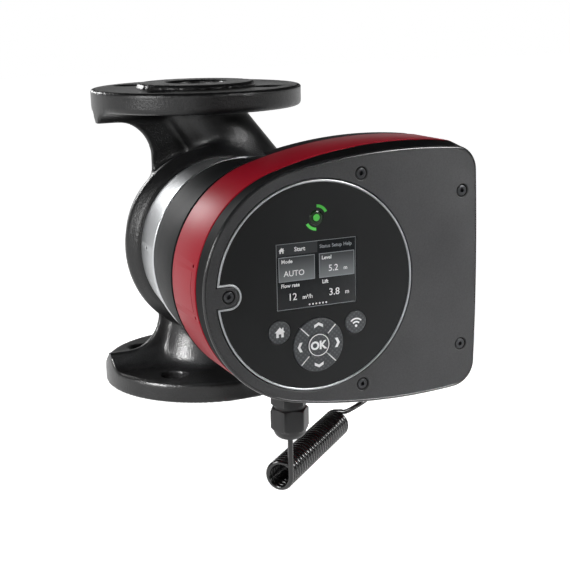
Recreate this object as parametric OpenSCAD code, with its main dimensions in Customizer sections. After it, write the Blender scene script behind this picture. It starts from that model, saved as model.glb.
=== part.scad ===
// In-line flanged circulator pump with a control head and a spiral sensor cable.
// Millimetres, +Z up the pipe, front toward -Y, origin at the middle of the lower flange's bolting face.

/* [Pump housing] */
// Length between the two raised sealing faces
port_to_port = 220; // [210:1:250]
// Outside diameter of both flanges
flange_diameter = 150; // [146:1:165]
// Thickness of the flange plate behind the raised face
flange_thickness = 14.5; // [12:0.5:18]
// Diameter of the raised sealing face
raised_face_diameter = 84; // [78:1:90]
// Height of the raised sealing face
raised_face_height = 3; // [2:0.5:4]
// Bolt circle diameter
bolt_circle = 110; // [104:1:118]
// Bolt hole diameter
bolt_hole = 18; // [14:0.5:19]
// Inside diameter of both ports
port_bore = 40; // [34:1:44]
// Diameter of the volute drum about the motor axis
volute_diameter = 135; // [130:1:142]

/* [Motor] */
// Distance from the pipe axis to the front of the volute
volute_front = 40; // [38:0.5:44]
// Length of the bare metal clamp band
band_length = 42.4; // [40:0.2:46]
// Band diameter next to the volute
band_back_diameter = 119.4; // [118:0.2:121]
// Band diameter next to the stator housing
band_front_diameter = 129.2; // [126:0.2:132]
// Length of the dark stator cone
stator_length = 54.7; // [52:0.1:58]
// Rotor diameter
rotor_diameter = 57; // [50:0.5:58]
// Impeller diameter
impeller_diameter = 86; // [76:1:90]

/* [Control head] */
// Diameter of the round left side of the head
head_diameter = 145.4; // [143:0.2:149]
// Reach of the head to the right of the motor axis
head_reach = 112.2; // [110:0.2:118]
// Extra half height of the head at its widest place
crown_rise = 6.3; // [5:0.1:8]
// Radius of the right-hand corners
corner_radius = 16.5; // [14:0.5:20]
// Depth of the rear casing plate
casing_depth = 4; // [3.5:0.5:5]
// Depth of the red band with the rubber seal
red_depth = 37; // [36:0.5:42]
// Depth of the front cover
cover_depth = 16; // [15.5:0.5:18]
// Wall thickness of the head shells
head_wall = 3; // [2.5:0.1:3.5]

/* [Control panel] */
// Diameter over the trim ring
trim_diameter = 127.4; // [124:0.2:128]
// Width of the trim ring line
trim_width = 1.2; // [1:0.1:1.6]
// Width of the display window
display_width = 52.6; // [48:0.2:56]
// Height of the display window
display_height = 40.4; // [36:0.2:42]
// Height of the display middle above the motor axis
display_rise = 7.7; // [7:0.1:9]
// Radius of the two round side buttons
side_button_r = 6.9; // [6:0.1:7.5]
// Radius of the direction pad
pad_r = 16.4; // [15.5:0.1:17]
// Radius of the middle button
ok_r = 7.3; // [6.5:0.1:7.6]
// Travel of every button
button_travel = 0.8; // [0.5:0.1:1]

/* [Cable and gland] */
// Width of the gland nut across its corners
gland_width = 25; // [24:0.5:27]
// Cable diameter
cord_d = 3.4; // [3:0.1:3.5]
// Outside diameter of the cable spiral
coil_d = 20; // [19:0.5:22]
// Turns in the cable spiral
coil_turns = 25.75; // [20.75:1:26.75]
// Distance from turn to turn along the spiral
coil_pitch = 4.15; // [4:0.05:4.2]

/* [Hidden] */
$fn = 64;

// heights of the two sealing faces and the motor axis, from the lower bolting face
low_z = -raised_face_height;
high_z = low_z + port_to_port;
axis_z = (low_z + high_z) / 2;
flange_r = flange_diameter / 2;
drum_r = volute_diameter / 2;
drum_back_r = drum_r - 11.8;
neck_r = port_bore / 2 + 8;
plate_top = flange_thickness;
plate_under = 2 * axis_z - plate_top;
port_length = raised_face_height + flange_thickness;
bore_deep = 12.5;
// parting gap between the outlet duct and the drum
duct_gap = 0.15;
// how far the inlet chamber reaches behind the pipe axis
chamber_back = 50;

// depths in front of the pipe axis along the motor axis
drum_step = volute_front - 10.4;
floor_d = volute_front - 6;
spigot_d = volute_front + 7;
band_back = volute_front + 1.9;
band_front = band_back + band_length;
head_back = band_front + stator_length;
red_back = head_back + casing_depth;
cover_back = red_back + red_depth;
cover_front = cover_back + cover_depth;
ledge_d = cover_front - 6;
panel_d = cover_front - 3;
board_d = cover_front - 10.4;

// inside radii of the pump and motor
band_r0 = band_back_diameter / 2;
band_r1 = band_front_diameter / 2;
band_wall = 3;
spigot_r = band_r0 - 4.7;
register_r = spigot_r - 4;
rim_r = spigot_r + 2.3;
impeller_r = impeller_diameter / 2;
// the pump chamber takes five eighths of the room between the impeller and the register
chamber_r = impeller_r + 0.625 * (register_r - impeller_r);
shaft_r = 6;
rotor_r = rotor_diameter / 2;
can_r = rotor_r + 2.5;
core_r = register_r - 0.2;
core_back = spigot_d + 11;
core_front = head_back - 25;
head_r = head_diameter / 2;
eye_r = 17.5;

// outline of the control head
crown = head_r + crown_rise;
crown_x = 0.56 * head_reach;
edge_r = (crown * crown + crown_x * crown_x - head_r * head_r) / (2 * crown_rise);
edge_c = [crown_x, crown - edge_r];
side_r = 15 * head_reach;
side_c = [head_reach - side_r, 0];
join_v = side_c - edge_c;
join_l = norm(join_v);
join_u = join_v / join_l;
join_ra = edge_r - corner_radius;
join_rb = side_r - corner_radius;
join_a = (join_ra * join_ra - join_rb * join_rb + join_l * join_l) / (2 * join_l);
join_h = sqrt(join_ra * join_ra - join_a * join_a);
corner_c = edge_c + join_a * join_u + join_h * [join_u[1], -join_u[0]];
a_side = atan2(corner_c[1] - side_c[1], corner_c[0] - side_c[0]);
a_edge = atan2(corner_c[1] - edge_c[1], corner_c[0] - edge_c[0]);
a_left = atan2(-edge_c[1], -edge_c[0]);

function arc(c, r, a0, a1, n, first = 1) = [
  for (i = [first:n]) let (a = a0 + (a1 - a0) * i / n) [c[0] + r * cos(a), c[1] + r * sin(a)]
];
function upper_half(inset) = concat(
  arc(side_c, side_r - inset, 0, a_side, 3, 0),
  arc(corner_c, corner_radius - inset, a_side, a_edge, 6),
  arc(edge_c, edge_r - inset, a_edge, a_left, 10),
  arc([0, 0], head_r - inset, a_left, 180, 18)
);
function head_points(inset) =
  let (u = upper_half(inset), n = len(u))
  concat(u, [for (i = [n - 2:-1:1]) [u[i][0], -u[i][1]]]);
function edge_z(x) = sqrt(edge_r * edge_r - (x - crown_x) * (x - crown_x)) + edge_c[1];

// screws of the cover, seen from the front
trim_r = trim_diameter / 2;
screw_x = trim_r - 7.5;
screws = [
  [-screw_x, 0],
  [30, head_r - 7.7], [30, 7.7 - head_r],
  [head_reach - 12.3, 49], [head_reach - 12.3, -49]
];
function notch_points(h) = concat(
  [[-90, -h]], arc([-screw_x, 0], h, -90, 90, 12, 0), [[-90, h]]
);

// buttons, seen from the front
pad_z = -35.8;
side_x = 25.2;
side_z = -25;
light_z = 41.4;
button_top = cover_front + 0.8;
gap = 0.3;

// gland under the head
gland_x = -4.5;
gland_d = red_back + 19;
pad_low = edge_z(gland_x + gland_width / 2 + 1.5) + 0.8;
pad_high = pad_low - 11;
gland_hex = axis_z - pad_low;
nut_top = gland_hex - 8.5;
nut_low = nut_top - 14;
gland_low = nut_low - 6.4;
seal_low = nut_low + 2;

// sensor on the volute, pointing down to the right
sensor_tilt = 35;
sensor_d = 8;
boss_top = drum_r + 7;
plug_end = boss_top + 32;
sensor_u = [cos(sensor_tilt), 0, -sin(sensor_tilt)];
sensor_end = [0, -sensor_d, axis_z] + plug_end * sensor_u;

// spiral of the cable: straight down from the gland, level spiral to the back right
coil_turn = 43;
coil_a = [cos(coil_turn), sin(coil_turn), 0];
coil_s = [sin(coil_turn), -cos(coil_turn), 0];
coil_m = (coil_d - cord_d) / 2;
drop = [gland_x, -gland_d, 0];
coil_z = gland_low - 27.5;
coil_c = [drop[0], drop[1], coil_z] - coil_m * coil_s;
coil_in = [drop[0], drop[1], coil_z + cord_d];
function coil_at(t) = coil_c + coil_pitch * t * coil_a
  + coil_m * (cos(360 * t) * coil_s - sin(360 * t) * [0, 0, 1]);
coil_out_dir = [coil_s[0], coil_s[1], 0.12] / norm([coil_s[0], coil_s[1], 0.12]);
coil_out = coil_at(coil_turns) + cord_d * coil_out_dir;
coil_steps = floor(coil_turns * 8);
coil_path = concat(
  [coil_in],
  [for (i = [0:coil_steps]) coil_at(i / 8)],
  [coil_out]
);
coil_gap = min([for (i = [0:coil_steps - 8]) norm(coil_at(i / 8 + 1) - coil_at(i / 8))]) - cord_d;
echo(coil_gap = coil_gap);

// hand-chosen route of the cable from the spiral to the sensor, heights from the motor axis
sensor_way = [
  [80.5, -92.5, -118.4], [90, -90.5, -114.5], [99, -83, -108], [105, -68.5, -99],
  [107.5, -49, -88.5], [106, -30, -79], [102, -16, -72]
];
way_last = sensor_end + 7 * sensor_u;
way = concat(
  [coil_out, coil_out + 4 * coil_out_dir],
  [for (p = sensor_way) [p[0], p[1], axis_z + p[2]]],
  [way_last, sensor_end + 2.5 * sensor_u, sensor_end]
);
function spline(p0, p1, p2, p3, t) = 0.5 * (2 * p1 + (p2 - p0) * t
  + (2 * p0 - 5 * p1 + 4 * p2 - p3) * t * t + (3 * p1 - p0 - 3 * p2 + p3) * t * t * t);
way_n = len(way) - 1;
sensor_path = concat(
  [for (i = [0:way_n - 1]) for (k = [0:1])
    spline(way[max(i - 1, 0)], way[i], way[i + 1], way[min(i + 2, way_n)], k / 2)],
  [way[way_n]]
);
gland_path = [
  [drop[0], drop[1], gland_hex + 18],
  [drop[0], drop[1], nut_top],
  [drop[0], drop[1], gland_low],
  [drop[0], drop[1], gland_low - 8],
  [drop[0], drop[1], gland_low - 16],
  coil_in
];

function unit(v) = v / norm(v);
function flow(path, i) = let (n = len(path) - 1)
  i == 0 ? unit(path[1] - path[0]) :
  i == n ? unit(path[n] - path[n - 1]) :
  unit(unit(path[i] - path[i - 1]) + unit(path[i + 1] - path[i]));
function carry(n0, t) = unit(n0 - (n0 * t) * t);
function normals(path, i, n0, out) = i == len(path) ? out :
  let (n1 = carry(n0, flow(path, i))) normals(path, i + 1, n1, concat(out, [n1]));

// one closed tube along a path
module tube(path, r, sides, n_first) {
  count = len(path);
  ns = normals(path, 0, n_first, []);
  pts = [
    for (i = [0:count - 1]) let (b = cross(flow(path, i), ns[i]))
      for (k = [0:sides - 1]) path[i] + r * (cos(360 * k / sides) * ns[i] + sin(360 * k / sides) * b)
  ];
  wall = [
    for (i = [0:count - 2]) for (k = [0:sides - 1]) for (h = [0:1])
      let (a = i * sides + k, b = i * sides + (k + 1) % sides)
        h == 0 ? [a, a + sides, b] : [b, a + sides, b + sides]
  ];
  last = (count - 1) * sides;
  caps = concat(
    [for (k = [1:sides - 2]) [0, k, k + 1]],
    [for (k = [1:sides - 2]) [last, last + k + 1, last + k]]
  );
  polyhedron(points = pts, faces = concat(wall, caps), convexity = 10);
}

// local frame of the motor: z runs to the front, y is up, x is right
module in_motor() {
  translate([0, 0, axis_z])
    rotate([90, 0, 0])
      children();
}

module disc(d0, d1, r) {
  translate([0, 0, d0])
    cylinder(r = r, h = d1 - d0);
}

module cone(d0, d1, r0, r1) {
  translate([0, 0, d0])
    cylinder(r1 = r0, r2 = r1, h = d1 - d0);
}

module ring(d0, d1, r0, r1) {
  difference() {
    disc(d0, d1, r1);
    disc(d0 - 1, d1 + 1, r0);
  }
}

module head_slab(d0, d1, inset) {
  translate([0, 0, d0])
    linear_extrude(height = d1 - d0)
      polygon(head_points(inset));
}

module notch_slab(d0, d1, h) {
  translate([0, 0, d0])
    linear_extrude(height = d1 - d0)
      polygon(notch_points(h));
}

module box_slab(x0, x1, y0, y1, d0, d1) {
  translate([x0, y0, d0])
    cube([x1 - x0, y1 - y0, d1 - d0]);
}

module at_screws() {
  for (s = screws)
    translate([s[0], s[1], 0])
      children();
}

// straight rod between two points of the part
module rod(p, q, r) {
  v = q - p;
  translate(p)
    rotate([0, acos(v[2] / norm(v)), atan2(v[1], v[0])])
      cylinder(r = r, h = norm(v));
}

module in_sensor() {
  translate([0, -sensor_d, axis_z])
    rotate([0, 90 + sensor_tilt, 0])
      children();
}

module at_top() {
  translate([0, 0, 2 * axis_z])
    mirror([0, 0, 1])
      children();
}

// the flange with its raised face, bolt holes and port, drawn for the lower end
module flange_plate() {
  difference() {
    union() {
      translate([0, 0, low_z])
        cylinder(d = raised_face_diameter, h = raised_face_height + 1);
      cylinder(r = flange_r, h = flange_thickness - 2.2);
      translate([0, 0, plate_top - 2.2])
        cylinder(r1 = flange_r, r2 = flange_r - 2.2, h = 2.2);
    }
    bolt_holes();
    translate([0, 0, low_z - 1])
      cylinder(d = port_bore, h = port_length + 2);
  }
}

module bolt_holes() {
  for (a = [45:90:315])
    rotate([0, 0, a])
      translate([bolt_circle / 2, 0, -1])
        cylinder(d = bolt_hole, h = plate_top + 2);
}

// flat stiffening web on the left of both necks, on a sloped foot at each flange
web_x = flange_r + 1;
web_in = 36.3;
web_rise = 10.2;
web_arc = 26;
web_thick = 4.5;
web_front = 3.7;
foot_front = 12;
foot_back = 11;
web_low = plate_top + web_rise;
web_high = 2 * axis_z - web_low + 2.8;
module web_plate() {
  translate([0, web_thick - web_front, 0])
    rotate([90, 0, 0])
      linear_extrude(height = web_thick)
        polygon(concat(
          [[0, plate_top], [-web_x, plate_top], [-web_x, web_low]],
          arc([-web_in - web_arc, web_low + web_arc], web_arc, -90, 0, 9, 0),
          arc([-web_in - web_arc, web_high - web_arc], web_arc, 0, 90, 9, 0),
          [[-web_x, web_high], [-web_x, plate_under], [0, plate_under]]
        ));
}

module web_foot(root, crest) {
  translate([-web_x, 0, 0])
    rotate([90, 0, 90])
      linear_extrude(height = web_x - 20)
        polygon([
          [-foot_front, root],
          [foot_back, root],
          [web_thick - web_front, crest],
          [-web_front, crest]
        ]);
}

module web() {
  intersection() {
    union() {
      web_plate();
      web_foot(plate_top, web_low);
      web_foot(plate_under, web_high);
    }
    cylinder(r = flange_r, h = 2 * axis_z);
  }
}

duct_turn = 37.4;
duct_reach = drum_r - 11.6;
duct_r = neck_r - 3;
duct_top = [6.5, -2, plate_under - 8];
duct_low = [duct_reach * cos(duct_turn), 21.9 - floor_d, axis_z + duct_reach * sin(duct_turn)];
suction_low = [0, 0, plate_top + 10];
suction_top = [0, 26.4, axis_z - 17];

// outer forms of the one casting; its nodes are cut to meet face to face
module drum_form(gap = 0) {
  in_motor() {
    cone(-6, drum_step, drum_back_r + gap, drum_r + gap);
    cone(drum_step, volute_front, drum_r + gap, band_r0 + 0.5 + gap);
    disc(volute_front - 1, spigot_d, spigot_r);
    disc(volute_front + 4.3, spigot_d, rim_r);
  }
  in_sensor()
    disc(drum_r - 14, boss_top, 12);
}

module chamber_form(gap = 0) {
  in_motor() {
    cone(-14 - gap, -6, drum_back_r - 6.5 + gap, drum_back_r + gap);
    cone(-chamber_back, 4 - chamber_back, 30, 34);
    disc(4 - chamber_back, 0, 34 + gap);
  }
}

module inlet_form() {
  translate([0, 0, plate_top])
    cylinder(r1 = neck_r + 9.2, r2 = neck_r, h = 24);
  rod([0, 0, plate_top], [0, 0, axis_z - drum_r + 12], neck_r);
  difference() {
    rod(suction_low, suction_top, neck_r - 3);
    in_motor()
      disc(-2 * chamber_back, -chamber_back, 3 * drum_r);
  }
}

module outlet_form() {
  difference() {
    union() {
      rod(duct_top + 0.5 * (duct_top - duct_low), duct_low, duct_r);
      translate(duct_low)
        sphere(r = duct_r + 0.4);
    }
    in_motor()
      disc(volute_front - 0.4, band_front, 3 * drum_r);
    translate([0, 0, plate_under])
      cylinder(r = flange_r, h = 4 * flange_thickness);
  }
}

// water passages, rotor space and sensor bore
module passages() {
  translate([0, 0, plate_top - 1])
    cylinder(r = port_bore / 2 - 1, h = bore_deep + 1);
  at_top()
    translate([0, 0, plate_top - 1])
      cylinder(r = port_bore / 2 - 1, h = bore_deep + 1);
  rod(suction_low - [0, 0, 8], suction_top, port_bore / 2 - 3);
  rod(duct_top + [-3, 0, 4], duct_low, port_bore / 2 - 4.5);
  in_motor() {
    disc(8 - chamber_back, 10, 24);
    disc(9, floor_d + 1, chamber_r);
    disc(floor_d, spigot_d + 1, register_r);
  }
  in_sensor() {
    disc(chamber_r - 8, boss_top + 1, 6.2);
    disc(boss_top - 2, boss_top + 1, 7.8);
  }
}

module pump_housing() {
  color("#1c1c1c")
    difference() {
      drum_form();
      passages();
    }
}

module inlet_flange() {
  color("#1c1c1c")
    flange_plate();
}

module inlet_neck() {
  color("#1c1c1c")
    difference() {
      inlet_form();
      drum_form();
      chamber_form();
      passages();
    }
}

module inlet_chamber() {
  color("#1c1c1c")
    difference() {
      chamber_form();
      drum_form();
      passages();
    }
}

module outlet_duct() {
  color("#1c1c1c")
    difference() {
      outlet_form();
      drum_form(duct_gap);
      chamber_form(duct_gap);
      passages();
    }
}

module outlet_flange() {
  color("#1c1c1c")
    at_top()
      flange_plate();
}

module housing_web() {
  color("#1c1c1c")
    difference() {
      web();
      inlet_form();
      outlet_form();
      drum_form();
      chamber_form();
      passages();
    }
}

module neck_ring() {
  color("#b8bcc0")
    in_motor() {
      ring(3, 10.5, eye_r + 2.9, 24);
      ring(9, 10.5, eye_r + 3, 27);
    }
}

module plate_gasket() {
  color("#3a3a38")
    in_motor()
      ring(floor_d, floor_d + 0.8, chamber_r + 0.2, register_r - 0.2);
}

module bearing_plate() {
  color("#9ea2a6")
    in_motor()
      difference() {
        union() {
          disc(floor_d + 0.8, floor_d + 4, register_r - 0.3);
          disc(floor_d + 0.8, floor_d + 16, 15);
        }
        disc(floor_d, floor_d + 17, shaft_r + 0.6);
        disc(floor_d + 2, floor_d + 17, 10.2);
      }
}

module pump_bearing() {
  color("#2e2f33")
    in_motor()
      ring(floor_d + 2, floor_d + 16, shaft_r + 0.05, 10);
}

module shaft() {
  color("#c2c6ca")
    in_motor()
      disc(3, core_front + 11.5, shaft_r);
}

module impeller() {
  color("#a89a78")
    in_motor()
      difference() {
        union() {
          disc(10, 31, 10);
          disc(28, 31, impeller_r);
          ring(11.2, 13.8, eye_r, impeller_r);
          ring(4, 12, eye_r, eye_r + 2.5);
          intersection() {
            for (a = [0:60:300])
              rotate([0, 0, a])
                translate([0, 9, 13])
                  rotate([0, 0, -18])
                    cube([60, 2.4, 16]);
            ring(12, 30, eye_r - 1, impeller_r);
          }
        }
        disc(9, 32, shaft_r);
      }
}

module impeller_nut() {
  color("#c8ccd0")
    in_motor()
      difference() {
        translate([0, 0, 5])
          cylinder(r = 9.5, h = 5, $fn = 6);
        disc(4, 11, shaft_r);
      }
}

module thrust_ring() {
  color("#33343a")
    in_motor()
      ring(floor_d + 16.4, floor_d + 21, shaft_r, 12);
}

module rotor() {
  color("#8d9196")
    in_motor()
      ring(floor_d + 21, core_front + 1, shaft_r, rotor_r);
}

module rotor_can() {
  color("#b9bdc1")
    in_motor()
      difference() {
        union() {
          disc(floor_d + 4, floor_d + 6, register_r - 0.3);
          disc(floor_d + 4, core_front + 14, can_r);
        }
        difference() {
          disc(floor_d + 3, core_front + 12, can_r - 0.8);
          ring(core_front + 6, core_front + 13, 10.2, 13);
        }
      }
}

module can_oring() {
  color("#1d1d1d")
    in_motor()
      ring(floor_d + 6, floor_d + 7, can_r + 10, can_r + 14);
}

module far_bearing() {
  color("#2e2f33")
    in_motor()
      ring(core_front + 4, core_front + 12, shaft_r + 0.05, 10);
}

module stator_core() {
  color("#7d8288")
    in_motor()
      ring(core_back, core_front, can_r + 0.4, core_r);
}

module windings() {
  color("#b4662e")
    in_motor() {
      ring(core_back - 9, core_back, can_r + 3, core_r - 6);
      ring(core_front, core_front + 10, can_r + 3, core_r - 6);
    }
}

module stator_housing() {
  color("#37393b")
    in_motor()
      difference() {
        union() {
          disc(floor_d + 7, spigot_d, register_r - 0.3);
          disc(spigot_d, spigot_d + 3, rim_r);
          disc(spigot_d, band_front + 2, spigot_r - 0.5);
          cone(band_front, head_back, band_r1, head_r - 1);
        }
        disc(floor_d, spigot_d + 8, can_r + 2);
        disc(spigot_d, spigot_d + 12, core_r - 5);
        disc(core_back, head_back - 5, register_r);
        cone(band_front + 4, head_back - 5, band_r1 - 5, head_r - 6);
        disc(spigot_d + 1, head_back + 1, 8);
      }
}

clamp_a = -52;
module clamp_band() {
  color("#c6c9cc")
    in_motor()
      difference() {
        union() {
          cone(band_back, band_front - 1.4, band_r0, band_r1 - 0.5);
          disc(band_front - 1.4, band_front, band_r1 + 0.5);
          rotate([0, 0, clamp_a])
            box_slab(band_r0 - 3, band_r1 + 12, -9, 9, band_back + 4, band_back + 20);
        }
        disc(band_back - 1, band_front + 1, spigot_r + 0.4);
        disc(volute_front + 4.3, spigot_d + 3, rim_r + 0.5);
        cone(spigot_d + 6, band_front + 1, rim_r + 0.8, band_r1 - band_wall);
        rotate([0, 0, clamp_a])
          box_slab(spigot_r - 2, band_r1 + 14, -1.2, 1.2, band_back - 1, band_front + 1);
        rotate([0, 0, clamp_a])
          translate([band_r1 + 5.5, 0, band_back + 12])
            rotate([90, 0, 0])
              translate([0, 0, -12])
                cylinder(r = 3.2, h = 24);
        rotate([0, 0, 175])
          translate([band_r0 - 8, 0, band_back + 18])
            rotate([0, 90, 0])
              cylinder(r = 1.1, h = 16);
      }
}

module clamp_screw() {
  color("#a7abae")
    in_motor()
      rotate([0, 0, clamp_a])
        translate([band_r1 + 5.5, 0, band_back + 12])
          rotate([90, 0, 0])
            difference() {
              union() {
                translate([0, 0, 9])
                  cylinder(r = 5, h = 6);
                translate([0, 0, -15])
                  cylinder(r = 3, h = 25);
                translate([0, 0, -14])
                  cylinder(r = 5.6, h = 5, $fn = 6);
              }
              translate([0, 0, 12])
                cylinder(r = 2.9, h = 4, $fn = 6);
            }
}

skirt_back = head_back - 13;
board_left = -36;
board_right = head_reach - 20.2;
board_half = head_r - 18.7;
module rear_casing() {
  color("#333537")
    in_motor()
      difference() {
        union() {
          difference() {
            head_slab(skirt_back, red_back, 0.8);
            disc(skirt_back - 1, head_back, head_r - 0.4);
            difference() {
              head_slab(skirt_back + 3, red_back + 1, 3.8);
              disc(skirt_back, red_back + 2, head_r + 2.6);
            }
          }
          at_screws()
            disc(red_back - 1, cover_back, 4.6);
          for (s = [-40, 40]) {
            translate([board_left + 6, s, 0])
              disc(red_back - 1, red_back + 6, 3);
            translate([board_right - 6, s, 0])
              disc(skirt_back + 2, red_back + 6, 3);
          }
          for (s = [-49, 49])
            translate([head_reach - 12.3, s, 0])
              disc(skirt_back + 2, red_back, 4.6);
        }
        at_screws()
          disc(cover_back - 24, cover_back + 1, 2.2);
        disc(head_back - 1, red_back + 1, 8);
      }
}

sink_left = head_reach - 34.2;
module heat_sink() {
  color("#5c6064")
    in_motor() {
      box_slab(sink_left, head_reach - 6, -52, 52, skirt_back - 3, skirt_back);
      for (i = [0:8])
        translate([0, i * 12.5, 0])
          box_slab(sink_left + 1, head_reach - 7, -51, -49, skirt_back - 19, skirt_back - 2);
    }
}

module power_board() {
  color("#2c6e3f")
    in_motor()
      box_slab(board_left, board_right, -board_half, board_half, red_back + 6, red_back + 7.6);
}

module capacitors() {
  color("#25282c")
    in_motor()
      for (y = [-30, -4, 22])
        translate([board_right - 24, y, 0])
          disc(red_back + 7.6, red_back + 31, 10);
}

module terminal_block() {
  color("#3f6f8f")
    in_motor()
      difference() {
        box_slab(-24, 24, -50, -36, red_back + 7.6, red_back + 22);
        for (i = [0:4])
          translate([-19.2 + i * 9.6, -43, 0])
            disc(red_back + 18, red_back + 23, 2.6);
      }
}

module red_band() {
  color("#a0142a")
    in_motor() {
      difference() {
        union() {
          head_slab(red_back, cover_back - 0.8, 0.4);
          translate([gland_x, -pad_low, gland_d])
            rotate([-90, 0, 0])
              cylinder(r = gland_width / 2, h = pad_low - pad_high);
        }
        difference() {
          head_slab(red_back - 1, cover_back, head_wall + 0.4);
          translate([gland_x, -pad_low, gland_d])
            rotate([-90, 0, 0])
              cylinder(r = gland_width / 2, h = pad_low - pad_high);
        }
        translate([gland_x, -pad_low - 1, gland_d])
          rotate([-90, 0, 0])
            cylinder(r = 10.2, h = 20);
      }
    }
}

module cover_gasket() {
  color("#141414")
    in_motor()
      difference() {
        head_slab(cover_back - 0.8, cover_back, 1);
        head_slab(cover_back - 2, cover_back + 1, head_wall);
      }
}

module front_cover() {
  color("#4a4a4b")
    in_motor()
      difference() {
        union() {
          difference() {
            union() {
              head_slab(cover_back, cover_front - 1.2, 0);
              head_slab(cover_front - 2, cover_front - 0.6, 0.6);
              head_slab(cover_front - 2, cover_front, 1.2);
            }
            head_slab(cover_back - 1, panel_d, head_wall);
            difference() {
              disc(panel_d - 1, cover_front + 1, trim_r + 0.7);
              notch_slab(panel_d - 2, cover_front + 2, 6.1);
            }
          }
          ring(ledge_d, panel_d, trim_r - 6, trim_r + 3);
          intersection() {
            notch_slab(ledge_d, cover_front, 6.1);
            disc(ledge_d, cover_front, trim_r + 3);
          }
          at_screws()
            disc(cover_back, panel_d, 5.6);
        }
        at_screws() {
          disc(cover_back - 1, cover_front + 1, 2.3);
          disc(cover_front - 4.5, cover_front + 1, 4.2);
        }
      }
}

module cover_screws() {
  color("#161616")
    in_motor()
      at_screws()
        difference() {
          union() {
            disc(cover_front - 4.5, cover_front - 1.3, 3.6);
            disc(cover_back - 20, cover_front - 4, 2);
          }
          translate([0, 0, cover_front - 3.2])
            cylinder(r = 1.9, h = 3, $fn = 6);
        }
}

module display_panel() {
  color("#242527")
    in_motor()
      difference() {
        union() {
          disc(panel_d, cover_front, trim_r - trim_width - 0.1);
          for (x = [-1, 1]) {
            translate([x * 36, 30, 0])
              disc(board_d + 1.6, panel_d + 1, 2.4);
            translate([x * 41, -16, 0])
              disc(board_d + 1.6, panel_d + 1, 2.4);
          }
        }
        notch_slab(panel_d - 1, cover_front + 1, 6.5 + trim_width + 0.1);
        box_slab(-display_width / 2, display_width / 2, display_rise - display_height / 2,
          display_rise + display_height / 2, panel_d - 1, cover_front + 1);
        translate([0, light_z, 0])
          disc(panel_d - 1, cover_front + 1, 4.5);
        for (x = [-side_x, side_x])
          translate([x, side_z, 0])
            disc(panel_d - 1, cover_front + 1, side_button_r + gap);
        translate([0, pad_z, 0])
          disc(panel_d - 1, cover_front + 1, pad_r + gap);
      }
}

module trim_ring() {
  color("#b9bcbf")
    in_motor()
      difference() {
        disc(panel_d, cover_front + 0.4, trim_r);
        notch_slab(panel_d - 1, cover_front + 2, 6.5);
        difference() {
          disc(panel_d - 1, cover_front + 2, trim_r - trim_width);
          notch_slab(panel_d - 2, cover_front + 3, 6.5 + trim_width);
        }
      }
}

module lcd_display() {
  color("#3b3f43")
    in_motor()
      union() {
        box_slab(-display_width / 2 - 2, display_width / 2 + 2, display_rise - display_height / 2 - 1.2,
          display_rise + display_height / 2 + 2, board_d + 1.6, panel_d);
        box_slab(0.15 - display_width / 2, display_width / 2 - 0.15, display_rise - display_height / 2 + 0.15,
          display_rise + display_height / 2 - 0.15, panel_d - 1, cover_front - 0.6);
      }
}

module status_light() {
  color("#37b34a")
    in_motor()
      translate([0, light_z, 0]) {
        disc(panel_d - 3, panel_d, 5.6);
        disc(panel_d - 1, cover_front + 0.3, 4.4);
      }
}

module display_board() {
  color("#2c6e3f")
    in_motor()
      difference() {
        disc(board_d, board_d + 1.6, trim_r - 8);
        notch_slab(board_d - 1, board_d + 3, 12);
      }
}

mat_top = panel_d - 3.9;
module keypad_mat() {
  color("#5a5d60")
    in_motor() {
      box_slab(-34, 34, pad_z - 18, pad_z + 16, board_d + 1.6, mat_top - 1);
      for (x = [-side_x, side_x])
        translate([x, side_z, 0])
          disc(mat_top - 1.5, mat_top, 3);
      translate([0, pad_z, 0]) {
        disc(mat_top - 1.5, mat_top, 3);
        for (a = [0:90:270])
          rotate([0, 0, a])
            translate([15, 0, 0])
              disc(mat_top - 1.5, mat_top, 1.6);
      }
    }
}

module side_button(x) {
  color("#6e7173")
    in_motor()
      translate([x, side_z, 0]) {
        disc(panel_d - 2, panel_d - 0.3, side_button_r + 1.1);
        disc(panel_d - 1, button_top, side_button_r);
      }
}

module home_button() {
  side_button(-side_x);
}

module wireless_button() {
  side_button(side_x);
}

module ok_button() {
  color("#77797b")
    in_motor()
      translate([0, pad_z, 0]) {
        disc(panel_d - 2.8, panel_d - 1.7, ok_r + 1.4);
        disc(panel_d - 2, button_top + 0.2, ok_r);
      }
}

// one quarter of the direction pad, turned to its place
module pad_quarter(a) {
  color("#6e7173")
    in_motor()
      translate([0, pad_z, 0])
        rotate([0, 0, a])
          difference() {
            union() {
              disc(panel_d - 0.6, button_top, pad_r);
              ring(panel_d - 1.9, panel_d - 0.3, ok_r + 4, pad_r + 1.5);
            }
            disc(panel_d - 3, button_top + 1, ok_r + gap);
            rotate([0, 0, 45])
              box_slab(-40, 40, -0.35, 40, panel_d - 4, button_top + 1);
            rotate([0, 0, -45])
              box_slab(-40, 40, -40, 0.35, panel_d - 4, button_top + 1);
          }
}

module up_button() {
  pad_quarter(90);
}

module down_button() {
  pad_quarter(270);
}

module left_button() {
  pad_quarter(180);
}

module right_button() {
  pad_quarter(0);
}

module at_gland(z) {
  translate([gland_x, -gland_d, z])
    children();
}

module gland_hexagon(r, h) {
  rotate([0, 0, -10])
    cylinder(r = r, h = h, $fn = 6);
}

module gland_body() {
  color("#2b2b2c")
    difference() {
      union() {
        at_gland(nut_top + 2.2)
          gland_hexagon(gland_width / 2 - 0.4, gland_hex - nut_top - 2.2);
        at_gland(nut_top)
          cylinder(r = gland_width / 2 - 2.6, h = 3);
        at_gland(gland_hex - 1)
          cylinder(r = 10, h = 21);
        at_gland(nut_low + 6)
          cylinder(r = 9.6, h = nut_top - nut_low);
      }
      at_gland(nut_low)
        cylinder(r = 7, h = 60);
    }
}

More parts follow.
